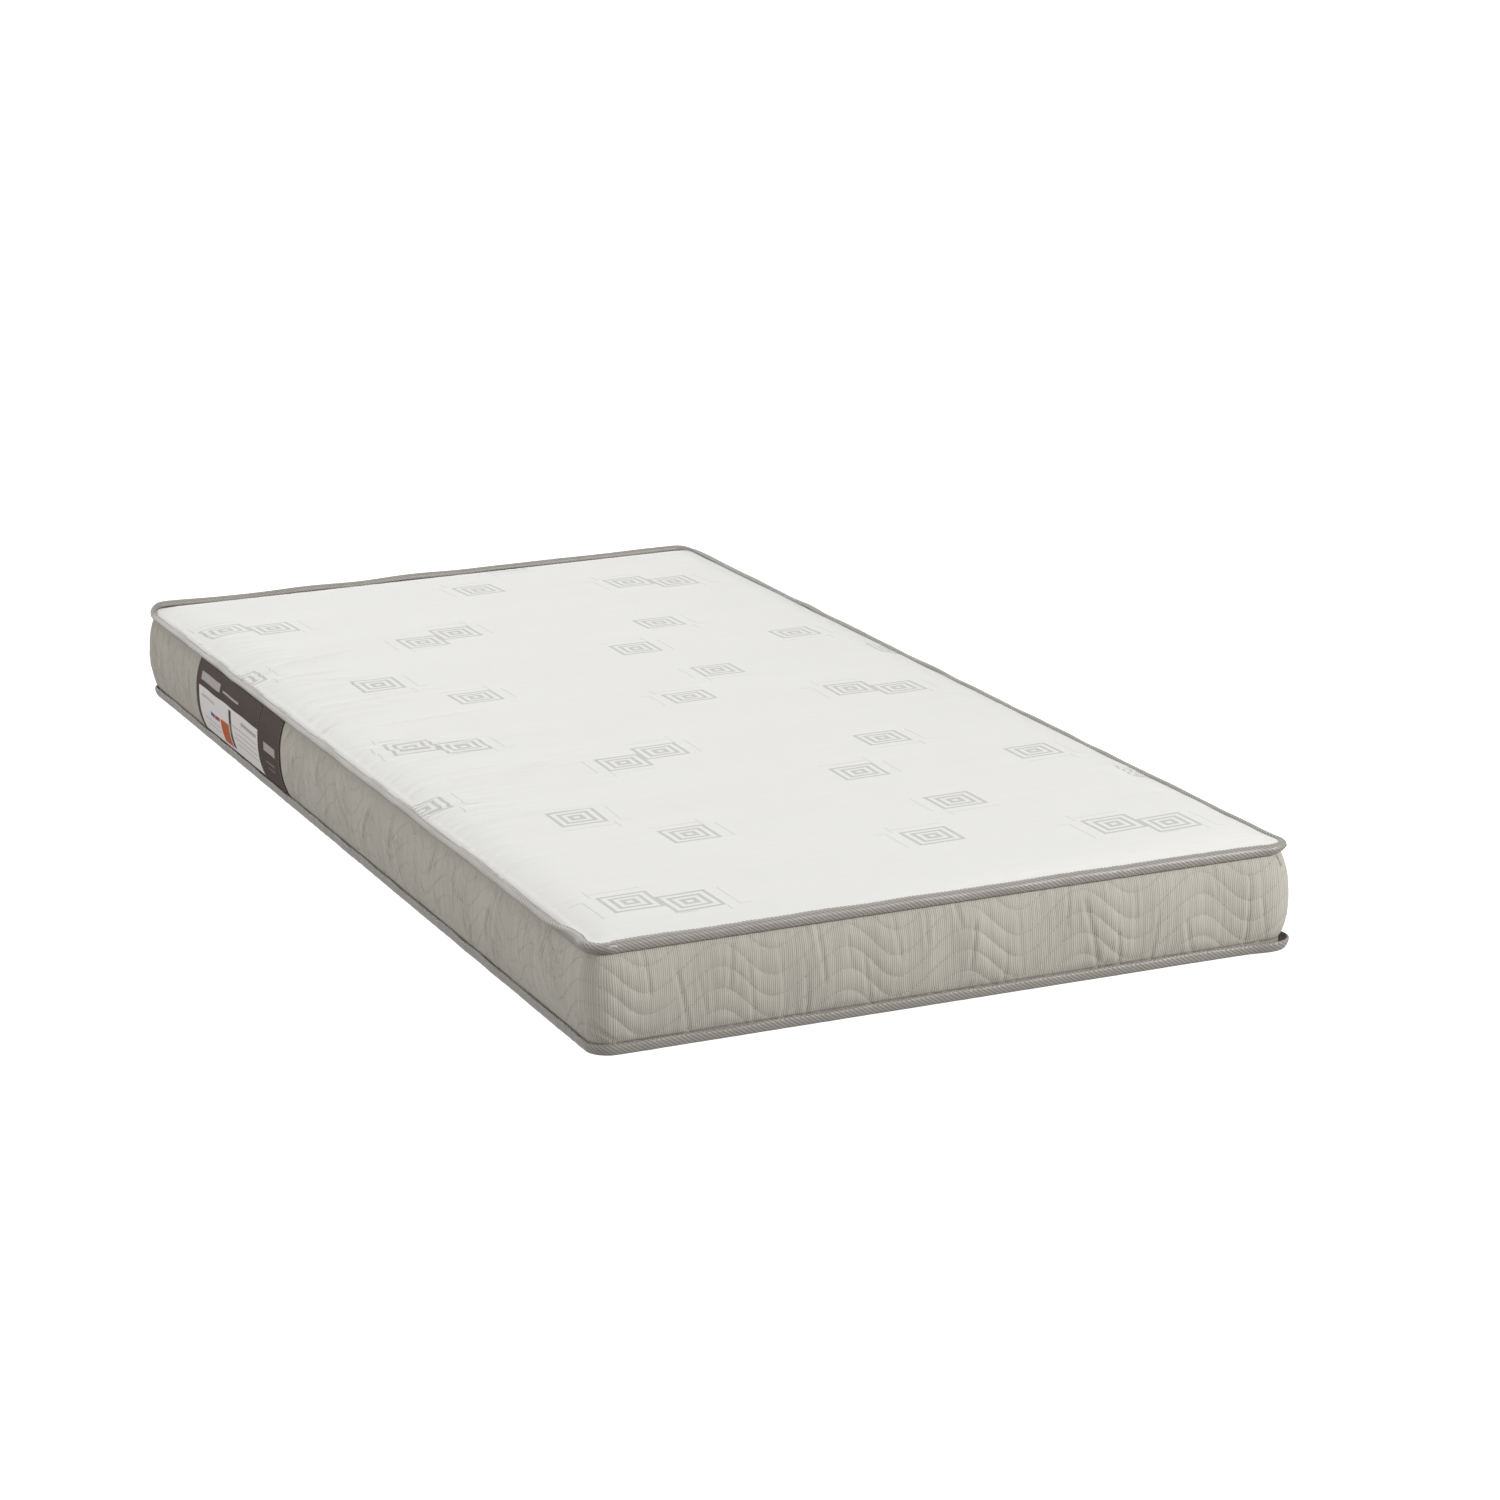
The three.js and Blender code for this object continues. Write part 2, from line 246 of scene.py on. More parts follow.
class Graph:
    """Adds nodes to a tree and joins them. An input is a socket to join, or a constant."""

    def __init__(self, tree):
        self.tree = tree

    def add(self, kind, inputs=(), **settings):
        node = self.tree.nodes.new("ShaderNode" + kind)
        for key, value in settings.items():
            setattr(node, key, value)
        for key, value in dict(inputs).items():
            if isinstance(value, bpy.types.NodeSocket):
                self.tree.links.new(value, node.inputs[key])
            else:
                node.inputs[key].default_value = value
        return node

    def maths(self, operation, *values):
        return self.add("Math", enumerate(values), operation=operation).outputs[0]

    def plus(self, first, second):
        return self.maths("ADD", first, second)

    def minus(self, first, second):
        return self.maths("SUBTRACT", first, second)

    def times(self, first, second):
        return self.maths("MULTIPLY", first, second)

    def vector(self, operation, *values):
        node = self.add("VectorMath", enumerate(values), operation=operation)
        return node.outputs["Value" if operation in ("DOT_PRODUCT", "LENGTH") else "Vector"]

    def split(self, vector):
        return self.add("SeparateXYZ", {0: vector}).outputs

    def attribute(self, name):
        return self.add("Attribute", attribute_name=name).outputs["Vector"]

    def between(self, value, low, high):
        """Zero at low and one at high, and held outside them."""
        inputs = {0: value, 1: low, 2: high}
        return self.add("MapRange", inputs, clamp=True).outputs[0]

    def noise(self, vector, scale, detail=2.0):
        return self.add("TexNoise", {"Vector": vector, "Scale": scale, "Detail": detail}).outputs["Fac"]

    def weave(self, cloth, counts, detail=2.0):
        """Noise with this many cells to the metre along the cloth's two directions."""
        return self.noise(self.vector("MULTIPLY", cloth, (*counts, 1)), 1.0, detail)

    def extreme(self, operation, values):
        """The largest or smallest of several values, joined one by one as they are made."""
        found = None
        for value in values:
            found = value if found is None else self.maths(operation, found, value)
        return found

    def mix(self, share, first, second):
        return self.add("Mix", {0: share, 6: first, 7: second}, data_type="RGBA").outputs[2]

    def bump(self, height, distance, strength=1.0, normal=None):
        inputs = {"Height": height, "Distance": distance, "Strength": strength}
        if normal is not None:
            inputs["Normal"] = normal
        return self.add("Bump", inputs).outputs[0]


def new_material(name):
    material = bpy.data.materials.new(name)
    material.use_nodes = True
    material.node_tree.nodes.clear()
    return material, Graph(material.node_tree)


def cloth_surface(graph, color, roughness, normal, sheen=0.0, sheen_roughness=0.4, specular=0.3):
    inputs = {
        "Base Color": color,
        "Roughness": roughness,
        "Normal": normal,
        "Sheen Weight": sheen,
        "Sheen Roughness": sheen_roughness,
        "Specular IOR Level": specular,
    }
    shader = graph.add("BsdfPrincipled", inputs)
    graph.add("OutputMaterial", {"Surface": shader.outputs[0]})


def soft_material(name, color, spread, cell, depth):
    """Foam or fibre: an even colour with pores or tufts of this cell size."""
    material, g = new_material(name)
    place_in = g.add("TexCoord").outputs["Object"]
    pores = g.noise(place_in, 1 / cell, detail=3.0)
    darker = tuple(c * (1 - spread) for c in color[:3]) + (1,)
    shade = g.mix(g.between(pores, 0.35, 0.65), darker, color)
    cloth_surface(g, shade, 0.95, g.bump(pores, depth))
    return material


# ---- The woven motif of the top ----

CELL = (635 * MM, 760 * MM)  # the pattern's repeat, across and along
RING_REACH = 40  # millimetres, the span of the ramp that draws a square's rings
RING_BANDS = ((4, 10), (15.5, 20.5), (26.5, 31))  # from and to, in millimetres from the square's middle
RING_SOFT = 0.4
LINE_HALF = 0.7  # half the width of a thin line
ONE, DOWN, UP = [(0, 0)], [(0, 0), (61.5, -27)], [(0, 0), (61.5, 28)]  # the middles of one or two squares
# In millimetres: thin upright lines (x, from y, to y), thin level lines (y, from x, to x), and squares.
MOTIFS = {
    "square_with_four_lines": ([(-47, -30, 31), (-36, 34, 59)], [(44, -35, 33), (32, -61, -48)], ONE),
    "square_with_three_lines": ([(31, 30, 57), (47, -30, 31)], [(44, -38, 30)], ONE),
    "pair_stepping_down": (
        [(-48, -38, 25), (-35, 32, 60), (108.5, -59, 2), (93, -71, -58)],
        [(44.5, -31, 30), (27, -64, -49), (-60, 108, 122), (-59, 34, 57)],
        DOWN,
    ),
    "pair_stepping_up": (
        [(-47, -30, 28), (-31, -57, -27), (93.5, 55, 91), (108.5, 0, 61)],
        [(76.5, 30, 90), (-41, -27, 28)],
        UP,
    ),
}
PLACED = [  # a motif, where its middle lies in the repeat, and -1 if it is turned around
    ("square_with_four_lines", 64, -749, 1),
    ("square_with_three_lines", 159, -625, -1),
    ("square_with_three_lines", 108, -452, 1),
    ("square_with_four_lines", 204, -318, -1),
    ("square_with_three_lines", -190, -601, 1),
    ("square_with_four_lines", -285, -472, -1),
    ("pair_stepping_down", -326, -827, 1),
    ("pair_stepping_up", -111, -249, 1),
]
PAIR_MIDDLE = {"pair_stepping_down": (30 * MM, -14 * MM, 0), "pair_stepping_up": (30 * MM, 14 * MM, 0)}


def motif_group(name, upright, level, squares):
    """A node group: 1 on the thin lines of a motif and on the rings of its squares, else 0."""
    tree = bpy.data.node_groups.new(name, "ShaderNodeTree")
    tree.interface.new_socket("Place", in_out="INPUT", socket_type="NodeSocketVector")
    tree.interface.new_socket("Ink", in_out="OUTPUT", socket_type="NodeSocketFloat")
    g = Graph(tree)
    place_in = tree.nodes.new("NodeGroupInput").outputs[0]
    inks = []
    for x, y in squares:
        x, y, _ = g.split(g.vector("ABSOLUTE", g.vector("SUBTRACT", place_in, (x * MM, y * MM, 0))))
        reach = g.maths("MAXIMUM", x, g.times(y, 1.05))
        ramp = g.add("ValToRGB", {0: g.times(reach, 1 / (RING_REACH * MM))})
        stops = ramp.color_ramp.elements
        edges = [(0, 0)]
        for start, end in RING_BANDS:
            edges += [(start - RING_SOFT, 0), (start + RING_SOFT, 1)]
            edges += [(end - RING_SOFT, 1), (end + RING_SOFT, 0)]
        for at, value in edges:
            stop = stops.new(at / RING_REACH) if at else stops[0]
            stop.position = at / RING_REACH
            stop.color = (value, value, value, 1)
        stops.remove(stops[-1])
        inks.append(ramp.outputs[0])

    def outside(x, y, half_x, half_y):
        away = g.vector("ABSOLUTE", g.vector("SUBTRACT", place_in, (x * MM, y * MM, 0)))
        out_x, out_y, _ = g.split(g.vector("SUBTRACT", away, (half_x * MM, half_y * MM, 0)))
        return g.maths("MAXIMUM", out_x, out_y)

    boxes = [(x, (a + b) / 2, LINE_HALF, abs(b - a) / 2) for x, a, b in upright]
    boxes += [((a + b) / 2, y, abs(b - a) / 2, LINE_HALF) for y, a, b in level]
    nearest = g.extreme("MINIMUM", (outside(*box) for box in boxes))
    inks.append(g.times(g.between(nearest, 0.3 * MM, -0.3 * MM), 0.75))
    ink = g.extreme("MAXIMUM", inks)
    output = tree.nodes.new("NodeGroupOutput")
    tree.links.new(ink, output.inputs[0])
    return tree


def motif_ink(g, cloth):
    """How much grey yarn shows on the top at each place of the cloth."""
    groups = {name: motif_group(name, *drawn) for name, drawn in MOTIFS.items()}
    half_cell = (CELL[0] / 2, CELL[1] / 2, 1)
    inks = []
    for name, x, y, turn in PLACED:
        moved = g.vector("SUBTRACT", cloth, (x * MM, y * MM, 0))
        wrapped = g.vector("WRAP", moved, half_cell, tuple(-h for h in half_cell))
        if turn < 0:
            wrapped = g.vector("MULTIPLY", wrapped, (-1, -1, 1))
        if name in PAIR_MIDDLE:
            wrapped = g.vector("ADD", wrapped, PAIR_MIDDLE[name])
        node = g.add("Group", node_tree=groups[name])
        g.tree.links.new(wrapped, node.inputs[0])
        inks.append(node.outputs[0])
    return g.extreme("MAXIMUM", inks)


# ---- Materials ----

RIB_PITCH = 2.4 * MM  # of the border's fabric
TWILL_PITCH = 3.6 * MM  # of the tapes' stripes


def panel_satin():
    material, g = new_material("panel_satin")
    cloth = g.attribute("cloth")
    drift = g.add("TexNoise", {"Vector": cloth, "Scale": 9.0, "Detail": 2.0}).outputs["Color"]
    drift = g.vector("MULTIPLY", g.vector("SUBTRACT", drift, (0.5, 0.5, 0.5)), (0.005, 0.005, 0))
    ink = motif_ink(g, g.vector("ADD", cloth, drift))
    yarns = g.weave(cloth, (14, 900), 3.0)
    bands = g.weave(cloth, (2, 90), 2.0)
    white = g.mix(g.between(yarns, 0.3, 0.7), (0.745, 0.738, 0.712, 1), (0.795, 0.788, 0.765, 1))
    white = g.mix(g.between(bands, 0.35, 0.7), white, (0.755, 0.752, 0.733, 1))
    grey = g.mix(g.between(yarns, 0.3, 0.7), (0.49, 0.49, 0.475, 1), (0.57, 0.57, 0.55, 1))
    fine = g.weave(cloth, (900, 2200), 1.0)
    cloth_surface(g, g.mix(ink, white, grey), 0.6, g.bump(fine, 0.2 * MM), sheen=0.15)
    return material


def panel_plain():
    material, g = new_material("panel_plain")
    cloth = g.attribute("cloth")
    yarns = g.weave(cloth, (700, 700), 2.0)
    shade = g.mix(g.between(yarns, 0.3, 0.7), (0.72, 0.715, 0.69, 1), (0.8, 0.795, 0.77, 1))
    cloth_surface(g, shade, 0.8, g.bump(yarns, 0.3 * MM), sheen=0.1)
    return material


def border_ribbed():
    """Fine upright ribs, with painted shade in the quilting grooves, under the tapes and in the pinch. The
    attributes hold (along, z, 0) and (level in the waves, steepness, pinch).
    """
    material, g = new_material("border_ribbed_fabric")
    cloth = g.attribute("cloth")
    along, height, _ = g.split(cloth)
    wobble = g.weave(cloth, (6, 25))
    bent = g.plus(along, g.times(wobble, 3 * MM))
    turns = g.times(bent, 2 * math.pi / RIB_PITCH)
    ribs = g.maths("MULTIPLY_ADD", g.maths("SINE", turns), 0.5, 0.5)
    uneven = g.weave(cloth, (260, 9), 3.0)
    broad = g.weave(cloth, (60, 6), 2.0)
    tone = g.plus(g.times(ribs, 0.5), g.times(uneven, 0.8))
    tone = g.plus(tone, g.times(broad, 0.35))
    shade = g.mix(g.between(tone, 0.4, 1.3), (0.375, 0.352, 0.3, 1), (0.608, 0.578, 0.51, 1))
    level, steep, pinched = g.split(g.attribute("quilt"))
    away = (g.maths("ABSOLUTE", g.minus(level, row)) for row in QUILT_ROWS)
    nearest = g.times(g.extreme("MINIMUM", away), steep)
    groove = g.between(nearest, 0.0, 2.2 * MM)
    # Painted shade: the cloth's colour is darkened a little along the quilting lines, where shade falls in
    # the grooves.
    painted_groove_shade = g.times(g.minus(1.0, groove), 0.07)
    shade = g.mix(painted_groove_shade, shade, (0.22, 0.205, 0.17, 1))
    # Painted shadow: a dark band on the cloth right under the upper tape's edge and right over the lower
    # tape's edge, where it turns under them.
    shadow_under_top_tape = g.between(height, LEG_LOW - 2.6 * MM, LEG_LOW - 1 * MM)
    shadow_over_bottom_tape = g.between(height, LEG_HIGH + 3.4 * MM, LEG_HIGH + 1 * MM)
    painted_tuck_shadow = g.maths("MAXIMUM", shadow_under_top_tape, shadow_over_bottom_tape)
    shade = g.mix(g.times(painted_tuck_shadow, 0.45), shade, (0.1, 0.09, 0.075, 1))
    # Painted shade: the pinch is darkened nearly to black, for the shadow inside it.
    shade = g.mix(g.between(pinched, 0.35, 1.1), shade, (0.06, 0.052, 0.044, 1))
    height = g.plus(ribs, g.times(uneven, 0.8))
    normal = g.bump(height, 0.45 * MM, 0.8)
    normal = g.bump(groove, 0.4 * MM, 0.6, normal)
    cloth_surface(g, shade, 0.8, normal, sheen=0.2)
    return material


def tape_twill():
    """Slanting stripes across a woven tape. The attribute holds (along, distance across the tape, 0)."""
    material, g = new_material("tape_twill")
    cloth = g.attribute("cloth")
    along, across, _ = g.split(cloth)
    slant = g.plus(g.times(along, 0.6), g.times(across, 0.8))
    wobble = g.weave(cloth, (60, 60))
    slant = g.plus(slant, g.times(wobble, 1.0 * MM))
    stripes = g.maths("SINE", g.times(slant, 2 * math.pi / TWILL_PITCH))
    stripes = g.maths("MULTIPLY_ADD", stripes, 0.5, 0.5)
    yarns = g.weave(cloth, (500, 1500), 2.0)
    tone = g.plus(g.times(stripes, 0.7), g.times(yarns, 0.4))
    shade = g.mix(g.between(tone, 0.2, 0.9), (0.215, 0.197, 0.175, 1), (0.385, 0.36, 0.325, 1))
    normal = g.bump(tone, 0.25 * MM, 0.6)
    cloth_surface(g, shade, 0.42, normal, sheen=0.45, sheen_roughness=0.3, specular=0.6)
    return material


def thread_material(name, dark, light):
    material, g = new_material(name)
    place_in = g.add("TexCoord").outputs["Object"]
    plies = g.noise(place_in, 2500.0, detail=1.0)
    shade = g.mix(g.between(plies, 0.35, 0.65), dark, light)
    cloth_surface(g, shade, 0.5, g.bump(plies, 0.1 * MM), sheen=0.2)
    return material


def label_satin():
    """A dark ribbon with printed blocks. The attribute holds (along from the foot end, height, part)."""
    material, g = new_material("label_satin")
    place_in = g.attribute("cloth")
    along, height, _ = g.split(place_in)

    def area(x_low, x_high, z_low, z_high, soft=0.4 * MM):
        outs = []
        for value, low, high in ((along, x_low * MM, x_high * MM), (height, z_low * MM, z_high * MM)):
            away = g.maths("ABSOLUTE", g.minus(value, (low + high) / 2))
            outs.append(g.minus(away, (high - low) / 2))
        return g.between(g.maths("MAXIMUM", *outs), soft, -soft)

    satin = g.weave(place_in, (1200, 200))
    shade = g.mix(g.between(satin, 0.3, 0.7), (0.066, 0.046, 0.041, 1), (0.096, 0.069, 0.062, 1))
    pale, grey, faint = (0.74, 0.71, 0.69, 1), (0.42, 0.4, 0.385, 1), (0.52, 0.5, 0.485, 1)
    printed = [
        ((104, 402, 18, 84), pale),
        ((112, 190, 70, 75), grey),
        ((112, 236, 60, 62), faint),
        ((112, 222, 52, 54), faint),
        ((112, 230, 44, 46), faint),
        ((112, 216, 36, 38), faint),
        ((238, 252, 24, 80), (0.05, 0.045, 0.04, 1)),
        ((240, 250, 46, 60), (0.22, 0.2, 0.06, 1)),
        ((256, 296, 22, 56), (0.5, 0.12, 0.04, 1)),
        ((300, 322, 50, 56), (0.4, 0.07, 0.07, 1)),
        ((324, 346, 50, 56), (0.09, 0.12, 0.34, 1)),
        ((304, 380, 40, 42), faint),
        ((304, 372, 32, 34), faint),
        ((320, 390, 70, 74), faint),
        ((206, 286, 96, 99), grey),
        ((300, 394, 93, 105), (0.42, 0.4, 0.39, 1)),
        ((24, 78, 62, 74), (0.4, 0.38, 0.37, 1)),
        ((30, 70, 46, 49), (0.2, 0.18, 0.17, 1)),
        ((34, 66, 38, 40), (0.2, 0.18, 0.17, 1)),
    ]
    for block, color in printed:
        shade = g.mix(area(*block), shade, color)
    cloth_surface(g, shade, 0.6, g.bump(satin, 0.08 * MM), specular=0.1)
    return material


# ---- The border ----

ROW_HEIGHTS = {"lowest": 15 * MM, "low": 41 * MM, "middle": 66.5 * MM, "high": 92 * MM, "highest": 122 * MM}
QUILT_ROWS = list(ROW_HEIGHTS.values())
RISE = 22.5 * MM
WAVES = 36
WAVE = TOTAL / WAVES
CREST = along_front(14 * MM)
DESCENT = 0.44  # the share of a wave from its crest down to its trough
DART_ALONG = along_front(0.426)  # a small pinch under the tape, near the foot side's right end
DART_TOP = LEG_LOW - 3 * MM
DART_DROP = 14 * MM
DART_SLANT = -0.35
DART_DEPTH = 2.6 * MM
wave_drift = ripple(0.15, 0.9)
wave_lift = ripple(0.12, 0.6)


def wave_height(along):
    """How far the quilting lines lie above their middle heights."""
    turn = np.mod((along - CREST + 1.6 * MM * wave_drift(along)) / WAVE, 1)
    down = np.cos(math.pi * turn / DESCENT)
    up = -np.cos(math.pi * (turn - DESCENT) / (1 - DESCENT))
    return RISE * np.where(turn < DESCENT, down, up) + 0.8 * MM * wave_lift(along)


def on_side(along, start, end, soft=60 * MM):
    """One along this stretch of the walk, and falling to zero over the soft distance past both ends."""
    middle, half = (start + end) / 2, (end - start) / 2
    away = np.abs(np.mod(along - middle + TOTAL / 2, TOTAL) - TOTAL / 2)
    return 1 - smooth(away, half, half + soft)


ROUNDING = 2.4  # the power of the border's bulge from tape to tape
LABEL_START = along_left(LABEL_BOX[1].y)
LABEL_END = along_left(LABEL_END_BOX[0].y)


def border_inset(along, z):
    """The inset of the border's smooth face. It matches the CAD's, and bulges a little more in places."""
    rounded = 1 - from_middle(z) ** ROUNDING
    _, outward = outline(along)
    extra = 1 * MM + 3 * MM * np.clip(np.maximum(np.abs(outward[..., 0]), outward[..., 1]), 0, 1)
    extra = extra + 1.5 * MM * np.maximum(outward[..., 0], 0)
    return TUCK - (TUCK + BULGE + extra) * rounded


def quilt_puff(along, z):
    """How full the cloth is between the quilting lines, from 0 on a line to 1."""
    level = z - wave_height(along)
    rows = np.array([QUILT_ROWS[0] - 24 * MM] + QUILT_ROWS + [QUILT_ROWS[-1] + 24 * MM])
    below = np.clip(np.searchsorted(rows, level) - 1, 0, len(rows) - 2)
    share = np.clip((level - rows[below]) / (rows[below + 1] - rows[below]), 0, 1)
    return 1 - np.abs(2 * share - 1) ** 2.4


def rising(along):
    """One where the quilting lines climb and zero where they fall."""
    turn = np.mod((along - CREST) / WAVE, 1)
    return window(turn, DESCENT + 0.08, 0.92, 0.08)


def steepness(along):
    """The share of an upright distance that is left when measured square to the quilting lines."""
    step = 1 * MM
    slope = (wave_height(along + step) - wave_height(along - step)) / (2 * step)
    return 1 / np.sqrt(1 + slope**2)


def crease_field(along, z):
    """Upright creases, short gathers next to the tapes and slanting wrinkles, as inward distances."""
    depth = np.zeros(np.broadcast(along, z).shape)
    flat_along = along[0]
    at = 0.0
    while at < TOTAL:
        left = LEFT_START - 30 * MM < at < TOTAL
        at += rng.uniform(8, 20) * MM if left else rng.uniform(14, 46) * MM
        height = rng.uniform(18, 60) * MM if left else rng.uniform(22, 85) * MM
        middle = rng.uniform(LEG_HIGH + 10 * MM, LEG_LOW - 8 * MM)
        slant = rng.normal(-0.5, 0.75) if left else rng.normal(-0.08, 0.1)
        size = rng.uniform(0.9, 3.6 if left else 2.0) * MM
        width = rng.uniform(1.9, 3.2 if left else 2.8) * MM
        near = np.abs(flat_along - at) < 40 * MM
        if not near.any():
            continue
        a, h = along[:, near], z[:, near]
        across = a - at - slant * (h - middle)
        along_crease = window(h, middle - height / 2, middle + height / 2, 14 * MM)
        ridges = 0.35 * bell(np.abs(across) - 2.4 * width, width)
        depth[:, near] += size * along_crease * (bell(across, width) - ridges)
    return depth


def dart_depth(along, z):
    """How far the small pinch near the foot side's right end is drawn in."""
    pinched = bell(along - DART_ALONG - DART_SLANT * (z - DART_TOP), 2.6 * MM)
    return DART_DEPTH * pinched * window(z, DART_TOP - DART_DROP, DART_TOP, 3 * MM)


gather_high = ripple(12 * MM, 30 * MM, 40)
gather_low = ripple(12 * MM, 40 * MM, 30)
slack = ripple(0.09, 0.4, 18)
slack_two = ripple(0.06, 0.3, 18)


def border_face(along, z, creases):
    """The inset of the border's quilted and creased face."""
    left = on_side(along, LEFT_START - ARC, TOTAL - ARC / 2, 20 * MM)
    right = on_side(along, RIGHT_START - ARC / 2, BACK_START - ARC, 20 * MM)
    label = on_side(along, LABEL_START - 5 * MM, LABEL_END + 5 * MM, 25 * MM)
    full = 1.5 * MM * (1 - 0.8 * left) * (1 - 0.4 * right) * (1 - 0.6 * label)
    puff = full * quilt_puff(along, z) * (1 - 0.4 * rising(along))
    puff = puff * (0.9 + 0.15 * slack_two(along))
    below_top = np.maximum(LEG_LOW - z, 0)
    above_low = np.maximum(z - LEG_HIGH, 0)
    puff = puff * smooth(below_top, 1 * MM, 13 * MM) * smooth(above_low, 1 * MM, 11 * MM)
    gathers = 0.45 * MM * gather_high(along) * np.exp(-below_top / (9 * MM))
    gathers = gathers + 0.4 * MM * gather_low(along) * np.exp(-above_low / (9 * MM))
    loose = (0.7 + 0.6 * left) * MM * slack(along + 0.25 * z) * (1 - from_middle(z) ** 2)
    lift = puff + loose + 0.9 * MM - creases * (1 - 0.8 * label) + gathers
    shown = window(z, LEG_HIGH + 3.5 * MM, LEG_LOW - 3.5 * MM, 3.5 * MM)
    lift = np.maximum(lift, -0.1 * MM) - dart_depth(along, z)
    lift = np.where(label > 0.02, np.minimum(lift, (1 - label) * 6 * MM + 1.1 * MM), lift)
    return border_inset(along, z) - lift * shown


def make_border(material):
    columns = 2104
    along = np.arange(columns) * TOTAL / columns
    ends = 5 * MM
    visible = np.linspace(LEG_HIGH - 1 * MM, LEG_LOW + 1 * MM, 40)
    hidden_low = [LEG_HIGH - 2 * ends, LEG_HIGH - ends]
    hidden_high = [LEG_LOW + ends, LEG_LOW + 1.6 * ends]
    heights = np.concatenate([hidden_low, visible, hidden_high])
    a, z = np.meshgrid(along, heights)
    face = border_face(a, z, crease_field(a, z))
    outer = place(a, face, z)
    inner_heights = heights[[-1, 30, 20, 10, 0]]
    b, zi = np.meshgrid(along, inner_heights)
    cad_inset = TUCK - (TUCK + BULGE) * (1 - from_middle(zi) ** ROUNDING)
    inner = place(b, cad_inset + 1.1 * MM, zi)
    rows = len(heights) + len(inner_heights)
    vertices = np.concatenate([outer, inner]).reshape(-1, 3)
    faces = quads(rows, columns, close_rows=True, close_columns=True)
    all_along = np.concatenate([a, b])
    all_z = np.concatenate([z, zi])
    level = all_z - wave_height(all_along)
    cloth = np.stack([cloth_along(all_along), all_z, 0 * all_z], -1).reshape(-1, 3)
    # The pinch's depth share, which the border's shader turns into painted shade.
    pinched = dart_depth(all_along, all_z) / DART_DEPTH
    quilt = np.stack([level, steepness(all_along), pinched], -1).reshape(-1, 3)
    made = make_mesh("border_cover", vertices, [faces], {"cloth": cloth, "quilt": quilt})
    return finish_piece(made, material, "border_ribbed_fabric", "border_fabric"), (heights, face)


def face_at(grid, along, z):
    """The inset of the finished border face, between the grid's points."""
    heights, face = grid
    columns = face.shape[1]
    position = np.mod(along, TOTAL) / TOTAL * columns
    left = np.floor(position).astype(int) % columns
    right = (left + 1) % columns
    share = position - np.floor(position)
    row = np.clip(np.searchsorted(heights, z) - 1, 0, len(heights) - 2)
    up = np.clip((z - heights[row]) / (heights[row + 1] - heights[row]), 0, 1)
    lower = face[row, left] * (1 - share) + face[row, right] * share
    upper = face[row + 1, left] * (1 - share) + face[row + 1, right] * share
    return lower * (1 - up) + upper * up


# ---- Stitches ----


def level_outward(along):
    """The outward directions at walked distances, as vectors in space."""
    _, outward = outline(along)
    return np.concatenate([outward, np.zeros((len(outward), 1))], 1)


def stitches(name, starts, ends, outward, size, material, slot, *nodes):
    """Thin spindles from starts to ends, of a width and a height. Outward points away from the cloth."""
    width, thickness = size
    direction = ends - starts
    length = np.linalg.norm(direction, axis=1, keepdims=True)
    direction = direction / np.maximum(length, 1e-9)
    side = np.cross(direction, outward)
    side /= np.maximum(np.linalg.norm(side, axis=1, keepdims=True), 1e-9)
    up = np.cross(side, direction)
    first = starts + direction * length * 0.3
    last = ends - direction * length * 0.3
    ring = [side * width / 2, up * thickness, -side * width / 2, -up * thickness]
    points = [starts] + [first + r for r in ring] + [last + r for r in ring] + [ends]
    vertices = np.stack(points, 1).reshape(-1, 3)
    base = np.arange(len(starts))[:, None] * 10
    tips, sides = [], []
    for k, j in ((0, 1), (1, 2), (2, 3), (3, 0)):
        tips += [base + [0, 1 + k, 1 + j], base + [9, 5 + j, 5 + k]]
        sides.append(base + [5 + k, 5 + j, 1 + j, 1 + k])
    made = make_mesh(name, vertices, [np.concatenate(tips), np.concatenate(sides)])
    return finish_piece(made, material, slot, *nodes)


def quilting_stitches(row, grid, material):
    """One row of lock stitches that lie in the valleys of the quilting."""
    fine = np.arange(0, TOTAL, 0.5 * MM)
    z = ROW_HEIGHTS[row] + wave_height(fine)
    steps = np.hypot(np.diff(fine), np.diff(z))
    travelled = np.concatenate([[0], np.cumsum(steps)])
    pitch = 5.2 * MM
    at = np.arange(0, travelled[-1] - pitch, pitch)
    along = np.interp(np.stack([at, at + 4.0 * MM]), travelled, fine)
    z = ROW_HEIGHTS[row] + wave_height(along)
    keep = np.all((z > LEG_HIGH) & (z < LEG_LOW), axis=0)
    if row in ("lowest", "highest"):
        keep &= ~((along[0] > LABEL_START - 6 * MM) & (along[0] < LABEL_END + 2 * MM))
    along, z = along[:, keep], z[:, keep]
    outward = level_outward((along[0] + along[1]) / 2)
    starts, ends = place(along, face_at(grid, along, z), z) + outward * 0.12 * MM
    nodes = [f"quilting_thread_{row}"] if row in ("low", "middle", "high") else []
    name, size = f"quilting_stitches_{row}", (0.7 * MM, 0.3 * MM)
    return stitches(name, starts, ends, outward, size, material, "thread_white", *nodes)


# ---- The tapes ----

tape_out = ripple(0.09, 0.5, 18)
tape_up = ripple(0.1, 0.6, 18)
tape_pinch = ripple(14 * MM, 40 * MM, 24)
tape_out_low = ripple(0.08, 0.4, 18)


